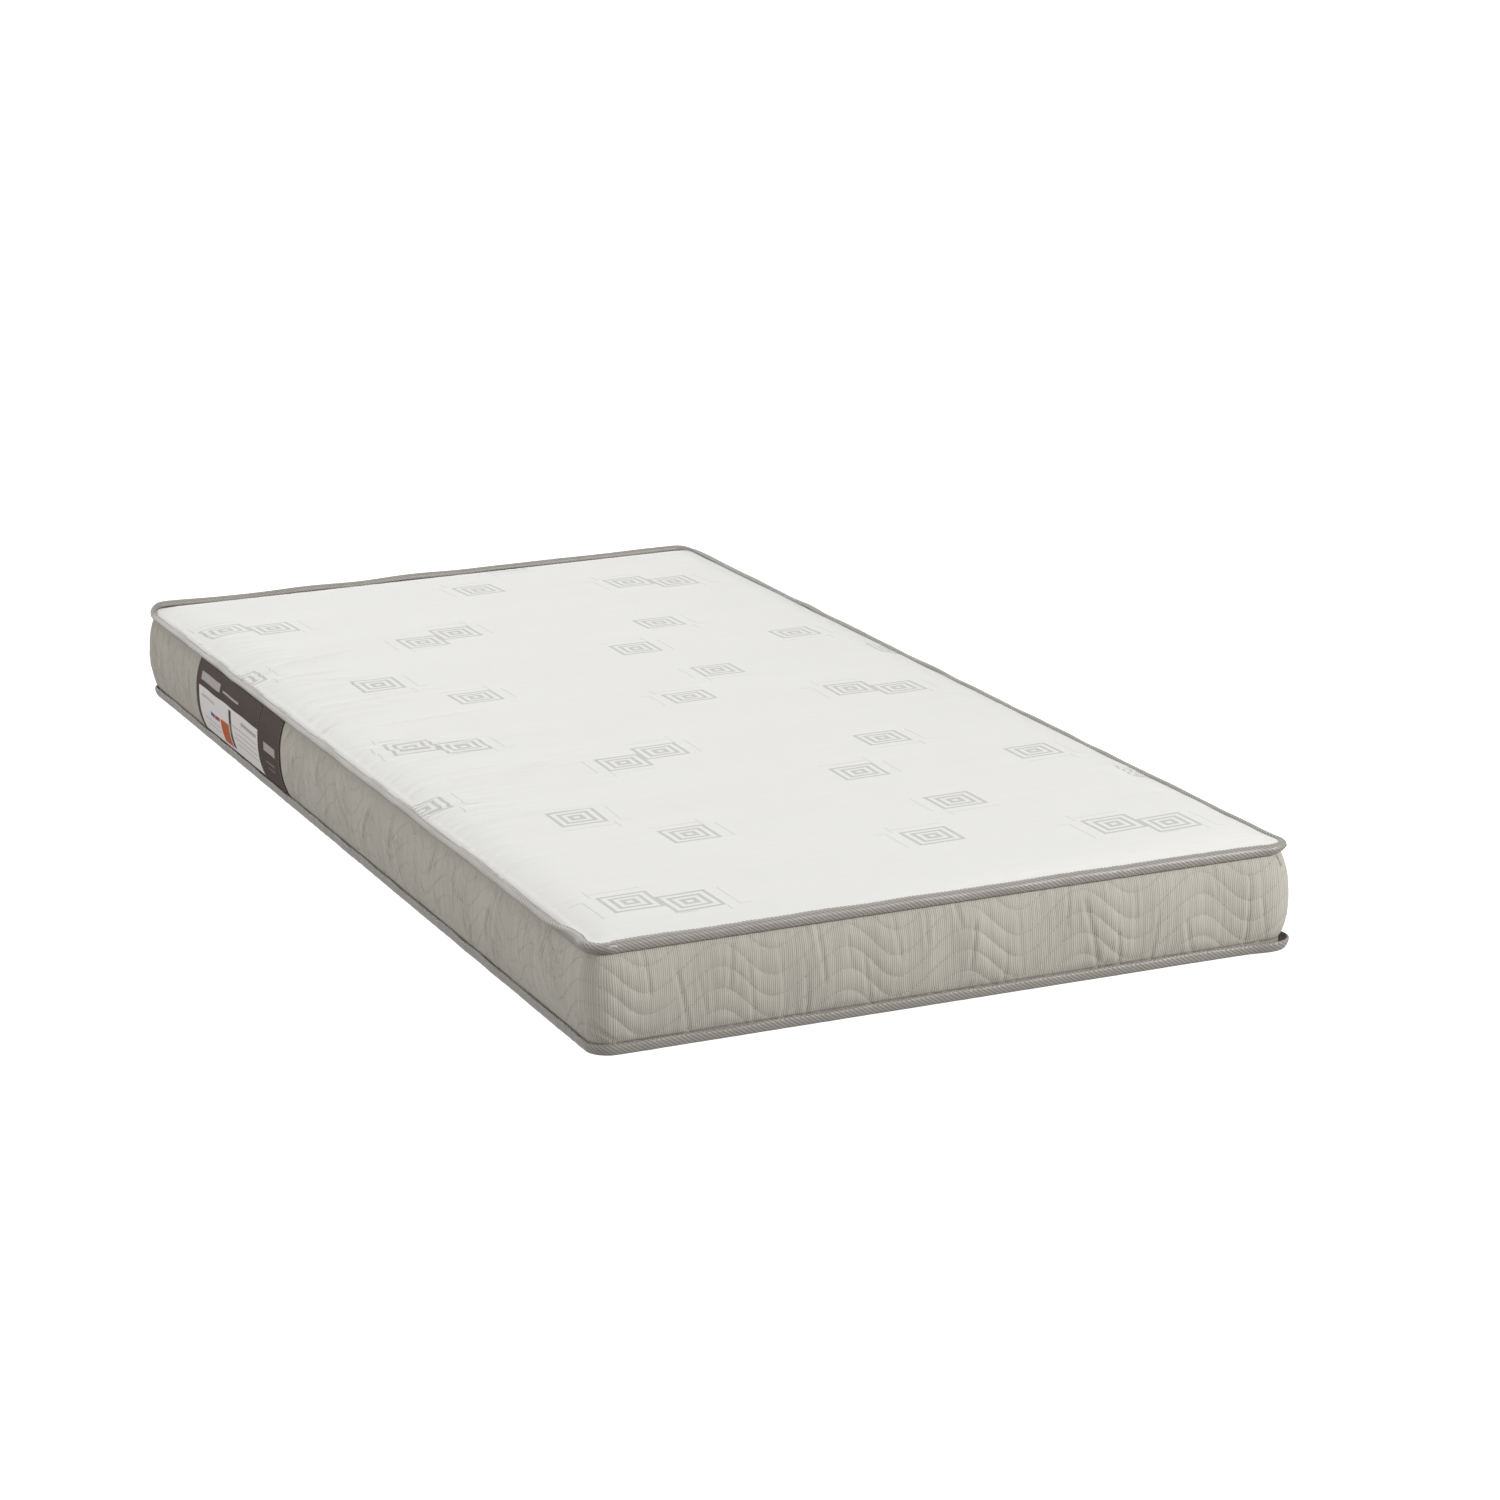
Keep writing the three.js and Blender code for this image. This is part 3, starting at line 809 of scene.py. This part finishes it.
# The upper tape's closed section, as (inset, height) in millimetres: 11 points over its outer face from the
# border to the panel, and 7 points back along its inner face.
PLAIN_SECTION = [(-0.4, 119.6), (-1.2, 120.8), (-1.7, 123.2), (-1.6, 126.2), (-0.8, 129.0), (0.8, 130.9)]
PLAIN_SECTION += [(2.6, 131.6), (4.6, 131.9), (6.4, 131.9), (8.0, 131.6), (9.4, 131.0)]
PLAIN_SECTION += [(9.4, 130.5), (7.4, 130.9), (5.2, 130.9), (2.8, 130.2), (0.8, 128.2), (-0.1, 125)]
PLAIN_SECTION += [(0.5, 120.1)]
FIN_SECTION = [(0.8, 118.8), (-0.6, 120.2), (-2.4, 121.8), (-4.2, 123.2), (-5.8, 124.6), (-6.9, 126.0)]
FIN_SECTION += [(-6.8, 127.4), (-5.2, 128.4), (-2.4, 129.0), (1.0, 129.4), (4.2, 129.6)]
FIN_SECTION += [(4.2, 129.0), (1.0, 128.7), (-2.4, 128.2), (-5.0, 127.2), (-5.4, 126.0), (-3.4, 124.0)]
FIN_SECTION += [(0.9, 120.2)]
LIP_SECTION = [(0.5, 120), (-0.1, 121.5), (-0.7, 124.5), (-0.9, 128), (-0.9, 131.6), (-0.5, 135.2)]
LIP_SECTION += [(0.4, 137.6), (1.7, 138.8), (3.2, 138.3), (4.7, 135.9), (6.2, 132.4)]
LIP_SECTION += [(5.8, 131.6), (4.3, 134.6), (2.7, 136.9), (1.3, 136.1), (0.6, 132), (0.6, 126)]
LIP_SECTION += [(1.2, 120.3)]
OUTER_POINTS = 11  # in both tapes' sections


def fin_share(along):
    """Where the upper tape sticks out sideways as a fin: all along the left side."""
    return on_side(along, LEFT_START + 6 * MM, TOTAL - ARC - 0.1, 0.09) * (1 - 0.999 * lip_share(along))


def lip_share(along):
    """Where the upper tape stands up as a lip: along the head side, and partly along the right side."""
    head = on_side(along, BACK_START - 4 * MM, LEFT_START - 30 * MM, 50 * MM)
    right = on_side(along, RIGHT_START + 0.16, BACK_START, 0.14)
    return np.maximum(head, right * (0.06 + 0.34 * smooth(along, RIGHT_START, BACK_START)))


def top_section(along):
    """The upper tape's closed section at each walked distance: insets and heights, in section order."""
    fin, lip = fin_share(along)[:, None], lip_share(along)[:, None]
    sections = (PLAIN_SECTION, FIN_SECTION, LIP_SECTION)
    plain_points, fin_points, lip_points = (np.array(points) * MM for points in sections)
    tall = 1 + 0.04 * tape_up(along + 0.4)[:, None]
    lip_points = lip_points[None] * np.ones((len(along), 1, 1))
    lip_points[..., 1] = SEAT + (lip_points[..., 1] - SEAT) * np.where(lip_points[..., 1] > SEAT, tall, 1)
    points = plain_points + fin[..., None] * (fin_points - plain_points)
    points = points + lip[..., None] * (lip_points - plain_points)
    free = smooth(points[..., 1], 119 * MM, 127 * MM)
    foot_end = fin[:, 0] * smooth(np.mod(along, TOTAL), along_left(-0.3), along_left(-0.85))
    corners = 6.5 * bell(along - FOOT_LEFT_CORNER, 28 * MM) + 4.5 * bell(along - FOOT_RIGHT_CORNER, 28 * MM)
    beside = 2.0 * on_side(along, RIGHT_START, BACK_START, 40 * MM)
    push = 0.35 * MM * tape_out(along) + 1.5 * MM * foot_end + (corners + beside) * MM
    pinch = 0.12 * MM * tape_pinch(along)[:, None]
    inset = points[..., 0] - push[:, None] * free + pinch
    z = points[..., 1] + 0.3 * MM * tape_up(along)[:, None] * free + 0.5 * pinch
    return inset, z


def bottom_section(along):
    """The lower tape's closed section at each walked distance, from the panel to the border and back."""
    outer = [(12.0, 1.4), (9.0, 0.8), (5.5, 0.4), (2.6, 0.5), (0.4, 1.4), (-0.8, 3.2), (-1.5, 5.8)]
    outer += [(-1.9, 8.8), (-1.8, 11.2), (-1.0, 13.1), (0.2, 13.9)]
    inner = [(0.9, 13.5), (0.2, 11.0), (0.1, 7), (0.8, 4.4), (2.7, 2.4), (5.5, 2.0), (11.8, 2.2)]
    points = np.array(outer + inner) * MM
    corner = 9 * MM * bell(along - FOOT_RIGHT_CORNER, 34 * MM)
    right_side = 1.2 * MM * on_side(along, RIGHT_START, BACK_START, 40 * MM)
    upper = smooth(points[:, 1], 2 * MM, 13 * MM)
    far_corner = 2.5 * MM * bell(along - HEAD_LEFT_CORNER, 60 * MM)
    push = 0.4 * MM * tape_out_low(along) + far_corner + right_side
    push = push[:, None] * (0.4 + 0.6 * upper[None, :]) + corner[:, None] * (0.75 + 0.25 * upper[None, :])
    pinch = 0.12 * MM * tape_pinch(along + 0.7)[:, None]
    inset = points[None, :, 0] - push + pinch
    z = points[None, :, 1] + 0.4 * MM * tape_up(along + 1.1)[:, None] * upper[None, :]
    return inset, z


def make_tape(name, section, material, node):
    columns = 1200
    along = np.arange(columns) * TOTAL / columns
    inset, z = section(along)
    count = inset.shape[1]
    vertices = place(along[:, None], inset, z)
    across = np.hypot(np.diff(inset, axis=1, prepend=inset[:, :1]), np.diff(z, axis=1, prepend=z[:, :1]))
    across = np.cumsum(across, axis=1)
    cloth = np.stack([np.broadcast_to(cloth_along(along)[:, None], inset.shape), across, 0 * across], -1)
    faces = quads(columns, count, close_rows=True, close_columns=True)[:, ::-1]
    made = make_mesh(name, vertices.reshape(-1, 3), [faces], {"cloth": cloth.reshape(-1, 3)})
    return finish_piece(made, material, "tape_twill", node)


def tape_stitches(name, section, share, material, slot, node):
    """Chain stitches on a tape's outer face. Share says where across the face they run."""
    count = int(TOTAL / (5.0 * MM))
    start = np.arange(count) * TOTAL / count
    along = np.concatenate([start, start + 3.9 * MM])
    points = np.stack(section(along), -1)
    at = share * (OUTER_POINTS - 1)
    low = int(at)
    part = at - low
    here = points[:, low] * (1 - part) + points[:, low + 1] * part
    run = (points[:, low + 1] - points[:, low])[:count]
    run_inset, run_z = (run / np.maximum(np.hypot(run[:, :1], run[:, 1:]), 1e-9)).T
    _, outward = outline(start)
    normal = np.concatenate([outward * run_z[:, None], run_inset[:, None]], 1)
    starts, ends = place(along, here[:, 0], here[:, 1]).reshape(2, count, 3) + normal * 0.05 * MM
    return stitches(name, starts, ends, normal, (0.9 * MM, 0.4 * MM), material, slot, node)


# ---- The top panel ----


def crown_height(inset):
    share = np.clip((inset - FOLD) / (70 * MM - FOLD), 0, 1)
    return SEAT + (CROWN - SEAT) * (1 - (1 - share) ** 2.2)


def inset_of(x, y):
    """The inset of a point on the top, with the same soft corners as the CAD's rings."""
    from_x = HALF_X - np.abs(x)
    from_y = HALF_Y - np.abs(y)
    soft = 11 * MM
    blend = np.maximum(soft - np.abs(from_x - from_y), 0) / soft
    return np.minimum(from_x, from_y) - blend**2 * soft / 4


def edge_samples(half, spacing):
    """Grid places across the top, which lie closer together near the tapes."""
    insets = [2, 5, 8, 10.5, 12.5, 14.5, 17, 19.5, 22.5, 25.5, 28, 31.5, 35.5, 40, 45, 51, 58, 66, 74]
    insets = np.array(insets) * MM
    inner = half - insets[-1]
    middle = np.linspace(-inner, inner, int(round(2 * inner / spacing)) + 1)
    return np.concatenate([-(half - insets[:-1]), middle, (half - insets[:-1])[::-1]])


def rounded_corners(x, y):
    """Moves the grid's points in the corner squares onto quarter discs."""
    radius = CORNER - 2 * MM
    over_x = np.abs(x) - (HALF_X - CORNER)
    over_y = np.abs(y) - (HALF_Y - CORNER)
    inside = (over_x > 0) & (over_y > 0)
    length = np.hypot(over_x, over_y)
    share = np.where(inside, np.maximum(over_x, over_y) / np.maximum(length, 1e-9), 1)
    new_x = np.where(inside, np.sign(x) * (HALF_X - CORNER + over_x * share), x)
    new_y = np.where(inside, np.sign(y) * (HALF_Y - CORNER + over_y * share), y)
    return new_x, new_y


def walked(x, y):
    """The walked distance that lies nearest to a point on the top."""
    gaps = np.stack([y + HALF_Y, HALF_X - x, HALF_Y - y, x + HALF_X])
    side = np.argmin(gaps, 0)
    along_x = np.clip(x, -STRAIGHT_X, STRAIGHT_X)
    along_y = np.clip(y, -STRAIGHT_Y, STRAIGHT_Y)
    options = [along_front(along_x), along_right(along_y), along_back(along_x), along_left(along_y)]
    return np.choose(side, options)


edge_pucker = ripple(11 * MM, 30 * MM, 44)
edge_reach = ripple(0.05, 0.3, 20)
top_swell = swell(0.12, 0.3, 0.25)
top_swell_long = swell(0.35, 0.8, 0.7)


def top_creases(x, y):
    """Fine creases that run in from the left tape, and shorter ones from the other tapes."""
    depth = np.zeros(x.shape)

    def crease(start, direction, length, size, width, bend):
        """One crease from start, that turns by bend over its length."""
        travel = np.linspace(0, length, 30)
        angle = direction + bend * (1 - np.exp(-travel / (30 * MM)))
        path_x = start[0] + np.concatenate([[0], np.cumsum(np.cos(angle[:-1]) * np.diff(travel))])
        path_y = start[1] + np.concatenate([[0], np.cumsum(np.sin(angle[:-1]) * np.diff(travel))])
        upright = abs(math.sin(direction)) > 0.7
        run, cross = (y, x) if upright else (x, y)
        path_run, path_cross = (path_y, path_x) if upright else (path_x, path_y)
        order = np.argsort(path_run)
        low, high = path_run[order[0]], path_run[order[-1]]
        near = (run >= low) & (run <= high)
        near &= (cross > path_cross.min() - 25 * MM) & (cross < path_cross.max() + 25 * MM)
        if not near.any():
            return
        line = np.interp(run[near], path_run[order], path_cross[order])
        gone = np.abs(run[near] - path_run[0]) / (high - low)
        strength = size * smooth(gone, 0, 0.08) * (1 - smooth(gone, 0.45, 1))
        away = cross[near] - line
        depth[near] += strength * (bell(away, width) - 0.45 * bell(np.abs(away) - 2.3 * width, 1.2 * width))

    at = -0.66
    while at < 0.7:
        at += rng.uniform(20, 58) * MM
        middle = math.exp(-((at / 0.52) ** 4))
        length = rng.uniform(0.08, 0.2) + rng.uniform(0, 0.3) * middle * rng.random()
        length *= 0.5 + 0.5 * middle
        size = rng.uniform(1.1, 3.8) * MM * (0.4 + 0.6 * middle)
        start = (-HALF_X + 6 * MM, at)
        heading = rng.normal(0.5, 0.15)
        width = rng.uniform(3.4, 7.5) * MM
        crease(start, heading, length, size, width, rng.normal(-0.54, 0.1))
    for _ in range(26):
        start = (HALF_X - 13 * MM, rng.uniform(-0.88, 0.88))
        heading = math.pi + rng.normal(0, 0.25)
        length = rng.uniform(0.03, 0.13)
        size, width = rng.uniform(0.3, 0.9) * MM, rng.uniform(2.4, 4) * MM
        crease(start, heading, length, size, width, rng.normal(0, 0.3))
    for _ in range(16):
        start = (rng.uniform(-0.4, 0.4), -HALF_Y + 13 * MM)
        heading = math.pi / 2 + rng.normal(0, 0.25)
        length = rng.uniform(0.03, 0.1)
        size, width = rng.uniform(0.3, 0.8) * MM, rng.uniform(4, 6) * MM
        crease(start, heading, length, size, width, rng.normal(0, 0.3))
    return depth


def cloth_on_top(x, y):
    """Where each point of the top lies in the cloth, which is pulled a little askew over the foam."""
    pull_x = -6.9 * x - 11.6 * y - 20.7 * x * x + 6 * x * y - 24.6 * y * y - 20.7 * y**3
    pull_y = 25.9 * x - 14.8 * y - 18.4 * x * y + 5.6 * y * y + 34.2 * y**3
    return np.stack([x - pull_x * MM, y - pull_y * MM, 0 * x], -1)


def make_top(material):
    xs, ys = edge_samples(HALF_X, 9.3 * MM), edge_samples(HALF_Y, 2.45 * MM)
    x, y = rounded_corners(*np.meshgrid(xs, ys))
    inset = inset_of(x, y)
    along = walked(x, y)
    right = window(x, 0.3, 0.5, 0.1)
    beside = np.exp(-np.maximum(inset - FOLD, 0) / (9 * MM + 4 * MM * np.clip(edge_reach(along), -1, 1)))
    pucker = (0.5 + 0.15 * right) * MM * edge_pucker(along) * beside * smooth(inset, 12 * MM, 20 * MM)
    inside = smooth(inset, 15 * MM, 80 * MM)
    soft = inside * (0.55 * MM * top_swell(x, y) + 0.6 * MM * top_swell_long(x, y))
    lift = 0.7 * MM + pucker + soft - top_creases(x, y) * smooth(inset, 7 * MM, 14 * MM)
    lift = np.maximum(lift, -0.25 * MM) * smooth(inset, 2 * MM, 12 * MM)
    fin, lip = fin_share(along), lip_share(along)
    lowered = (3.4 * fin + 1.2 * lip) * MM * (1 - smooth(inset, 2.5 * MM, 10 * MM))
    z = crown_height(inset) + lift - lowered
    rows, columns = x.shape
    top = np.stack([x, y, z], -1).reshape(-1, 3)
    index = np.arange(rows * columns).reshape(rows, columns)
    edge = rim_of(index)
    rim = top[edge]
    parts, cloth = [top], [cloth_on_top(x, y).reshape(-1, 3)]
    faces = [quads(rows, columns)]
    previous = edge
    count = len(edge)
    offset = len(top)
    for step in (2, 12, 22, 40, 70):
        shift = (step - 2) * MM
        scale_x = (HALF_X - 2 * MM - shift) / (HALF_X - 2 * MM)
        scale_y = (HALF_Y - 2 * MM - shift) / (HALF_Y - 2 * MM)
        ring = rim * [scale_x, scale_y, 1]
        ring[:, 2] = crown_height(inset_of(ring[:, 0], ring[:, 1])) - 0.8 * MM
        numbers = offset + np.arange(count)
        parts.append(ring)
        cloth.append(ring * [1, 1, 0])
        faces.append(np.stack([np.roll(previous, -1), previous, numbers, np.roll(numbers, -1)], -1))
        previous = numbers
        offset += count
    parts.append(np.array([[0, 0, CROWN - 0.8 * MM]]))
    cloth.append(np.zeros((1, 3)))
    faces.append(np.stack([np.roll(previous, -1), previous, np.full(count, offset)], -1))
    made = make_mesh("top_cover", np.concatenate(parts), faces, {"cloth": np.concatenate(cloth)})
    return finish_piece(made, material, "panel_satin", "top_panel_fabric")


# ---- The bottom panel ----


def make_bottom(material):
    """A plain panel of rings, walked from its lower middle past its edge to its upper middle."""
    columns = 480
    along = np.arange(columns) * TOTAL / columns
    seat = BOTTOM_LOW.z + 1.6 * MM
    flat, outward = outline(along)
    parts = []
    insets = np.array([400, 200, 120, 70, 45, 30, 24, 18, 12, 7, 2]) * MM
    wrinkle = ripple(20 * MM, 60 * MM, 30)(along)
    for side in (0, 1):
        for inset in insets if side == 0 else insets[::-1]:
            radius = max(CORNER - inset, CORNER / 3)
            inner_x, inner_y = HALF_X - inset - radius, HALF_Y - inset - radius
            centre = flat - outward * CORNER
            shrink = np.array([inner_x / STRAIGHT_X, inner_y / STRAIGHT_Y])
            ring = centre * shrink + outward * radius
            share = np.clip((inset - FOLD) / (30 * MM - FOLD), 0, 1)
            z = seat * (1 - share) ** 2 + side * 0.8 * MM
            lift = 0.35 * MM * (1 + wrinkle * 0.5) * math.exp(-max(inset - FOLD, 0) / (14 * MM))
            parts.append(np.column_stack([ring, z + lift * (inset > FOLD)]))
    vertices = np.concatenate(parts)
    rings = len(parts)
    faces = quads(rings, columns, close_columns=True)
    first, last = len(vertices), len(vertices) + 1
    vertices = np.concatenate([vertices, [[0, 0, 0], [0, 0, 0.8 * MM]]])
    around = np.arange(columns)
    end = (rings - 1) * columns + around
    fans = [
        np.stack([around, np.roll(around, -1), np.full(columns, first)], -1)[:, ::-1],
        np.stack([end, np.roll(end, -1), np.full(columns, last)], -1),
    ]
    made = make_mesh("bottom_cover", vertices, [faces, *fans], {"cloth": vertices * [1, 1, 0]})
    return finish_piece(made, material, "panel_plain", "bottom_panel_fabric")


# ---- The label ----

label_wave = ripple(0.07, 0.25, 14)


def label_slack(along, z):
    """How far the label and the stitches on it stand off the border."""
    return 0.5 * MM * (label_wave(along + 0.1 * z) + 1) * (1 - from_middle(z) ** 2)


def make_label(part, box, material):
    """A thin strip that lies over the border's bulge from tape to tape."""
    y_low, y_high = box[0].y, box[1].y
    rows, columns = 22, int((y_high - y_low) / (5 * MM)) + 1
    y = np.linspace(y_low, y_high, columns)
    heights = np.linspace(LEG_HIGH + 0.4 * MM, LEG_LOW - 0.4 * MM, rows)
    yy, zz = np.meshgrid(y, heights)
    along = along_left(yy)
    base = border_inset(along, zz) - 1.5 * MM - label_slack(along, zz)
    front = place(along, base - 0.5 * MM, zz)
    back = place(along, base, zz)
    vertices = np.concatenate([front.reshape(-1, 3), back.reshape(-1, 3)])
    faces = quads(rows, columns)
    size = rows * columns
    index = np.arange(size).reshape(rows, columns)
    edge = rim_of(index)
    rim = np.stack([np.roll(edge, -1), edge, edge + size, np.roll(edge, -1) + size], -1)
    which = np.full(yy.shape, float(part == "main"))
    cloth = np.stack([yy - LABEL_END_BOX[0].y, zz, which], -1).reshape(-1, 3)
    faces = [faces[:, ::-1], faces + size, rim[:, ::-1]]
    made = make_mesh(f"sewn_label_{part}", vertices, faces, {"cloth": np.concatenate([cloth, cloth])})
    return finish_piece(made, material, "label_satin", f"label_{part}")


def upright_stitches(name, along, lift, material, slot, node):
    """A row of stitches from tape to tape, over the border or the label."""
    low = np.arange(LEG_HIGH + 1.5 * MM, LEG_LOW - 5 * MM, 4.2 * MM)
    where = np.full(len(low), along)
    z = np.stack([low, low + 3.2 * MM])
    starts, ends = place(where, border_inset(where, z) - lift - label_slack(where, z), z)
    size = (0.9 * MM, 0.45 * MM)
    return stitches(name, starts, ends, level_outward(where), size, material, slot, node)


# ---- Build the object ----

satin = panel_satin()
plain = panel_plain()
ribbed = border_ribbed()
twill = tape_twill()
white_thread = thread_material("thread_white", (0.66, 0.645, 0.6, 1), (0.8, 0.79, 0.75, 1))
quilting_thread = thread_material("thread_quilting", (0.44, 0.42, 0.37, 1), (0.66, 0.64, 0.59, 1))
grey_thread = thread_material("thread_grey", (0.24, 0.225, 0.2, 1), (0.36, 0.34, 0.31, 1))
label = label_satin()

top_cover = make_top(satin)
bottom_cover = make_bottom(plain)
border_cover, border_grid = make_border(ribbed)
make_tape("edge_tape_top", top_section, twill, "top_tape")
make_tape("edge_tape_bottom", bottom_section, twill, "bottom_tape")
for row in ROW_HEIGHTS:
    quilting_stitches(row, border_grid, quilting_thread)
for side, section, kind, share, thread in (
    ("top", top_section, "needle", 0.88, grey_thread),
    ("top", top_section, "looper", 0.12, grey_thread),
    ("bottom", bottom_section, "needle", 0.14, white_thread),
    ("bottom", bottom_section, "looper", 0.88, grey_thread),
):
    slot = "thread_white" if kind == "needle" else "thread_grey"
    tape_stitches(f"{kind}_stitches_{side}", section, share, thread, slot, f"{side}_tape_{kind}_thread")
LABEL_PARTS = {"main": LABEL_BOX, "end": LABEL_END_BOX}
labels = {part: make_label(part, box, label) for part, box in LABEL_PARTS.items()}
HEM = 3.3 * MM  # from a label's end to its stitches
label_ends = {"foot": LABEL_END_BOX[0].y, "middle": LABEL_BOX[0].y, "head": LABEL_BOX[1].y - 2 * HEM}
for row, y in label_ends.items():
    name, node = f"label_stitches_{row}", f"label_thread_{row}"
    upright_stitches(name, along_left(y + HEM), 2.2 * MM, grey_thread, "thread_grey", node)
name, node = "border_closing_stitches", "border_closing_thread"
upright_stitches(name, SEAM, 2.8 * MM, white_thread, "thread_white", node)

hidden_materials = {
    "foam_core": soft_material("core_foam", (0.8, 0.73, 0.52, 1), 0.12, 2.5 * MM, 0.6 * MM),
    "top_panel_wadding": soft_material("fibre_wadding", (0.85, 0.84, 0.81, 1), 0.08, 4 * MM, 0.5 * MM),
    "border_padding": soft_material("border_foam", (0.83, 0.8, 0.7, 1), 0.1, 2 * MM, 0.5 * MM),
    "border_backing": soft_material("fibre_backing", (0.82, 0.81, 0.78, 1), 0.08, 3 * MM, 0.2 * MM),
}
hidden_materials["bottom_panel_wadding"] = hidden_materials["top_panel_wadding"]
for name, material in hidden_materials.items():
    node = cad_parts[name]
    node.data.materials.clear()
    node.data.materials.append(material)

# ---- Floor and light ----


def make_floor():
    reach = 60.0
    below = -0.5 * MM  # just under the mattress, so that the two faces never share a plane
    corners = np.array([[-1, -1, 0], [1, -1, 0], [1, 1, 0], [-1, 1, 0]])
    vertices = corners * reach + [0, 0, below]
    floor = make_mesh("studio_floor", vertices, [np.array([[0, 1, 2, 3]])])
    material, g = new_material("studio_floor")
    diffuse = g.add("BsdfDiffuse", {"Color": (0.45, 0.45, 0.45, 1)})
    glow = g.add("Emission", {"Color": (1, 1, 1, 1), "Strength": 1.0})
    both = g.add("AddShader", {0: diffuse.outputs[0], 1: glow.outputs[0]})
    g.add("OutputMaterial", {"Surface": both.outputs[0]})
    floor.data.materials.append(material)
    floor.visible_diffuse = False  # it shows white without lighting the mattress from below
    floor.visible_glossy = False


def area_light(name, place_at, look_at, size, power):
    data = bpy.data.lights.new(name, "AREA")
    data.shape = "RECTANGLE"
    data.size, data.size_y = size
    data.energy = power
    lamp = bpy.data.objects.new(name, data)
    bpy.context.scene.collection.objects.link(lamp)
    lamp.location = place_at
    lamp.rotation_euler = (Vector(look_at) - Vector(place_at)).to_track_quat("-Z", "Y").to_euler()


make_floor()
world = bpy.data.worlds.new("studio")
bpy.context.scene.world = world
world.use_nodes = True
background = world.node_tree.nodes["Background"].inputs
background["Color"].default_value = (1, 1, 1, 1)
background["Strength"].default_value = 0.42
LIGHTS = {  # place, what it faces, size and power
    "overhead": ((0.1, 1.3, 3.2), (0, 0.3, 0), (3.0, 3.0), 39),
    "key": ((2.6, -3.6, 2.0), (0, -0.4, 0), (0.9, 0.9), 134),
    "fill": ((-4.0, -0.6, 1.6), (0, 0, 0), (2.5, 1.8), 41),
    "backdrop": ((-1.0, 7.0, 1.7), (-0.5, 0, 0.2), (9.0, 3.2), 150),
}
for name, settings in LIGHTS.items():
    area_light(name, *settings)

# ---- Camera ----

CAMERA_PLACE = (-1.9234, -4.9949, 1.5001)
LENS = 98.83  # millimetres, on a film 36 mm wide
HEADING = math.radians(22.4931)  # clockwise from +Y
PITCH = math.radians(-14.9243)
ROLL = math.radians(-1.4213)

camera_data = bpy.data.cameras.new("camera")
camera_data.lens = LENS
camera_data.sensor_width = 36
camera_data.clip_end = 200
camera = bpy.data.objects.new("camera", camera_data)
bpy.context.scene.collection.objects.link(camera)
bpy.context.scene.camera = camera
aim = Matrix.Rotation(-HEADING, 4, "Z") @ Matrix.Rotation(math.pi / 2 + PITCH, 4, "X")
camera.matrix_world = Matrix.Translation(CAMERA_PLACE) @ aim @ Matrix.Rotation(ROLL, 4, "Z")

bpy.context.scene.view_settings.view_transform = "Standard"
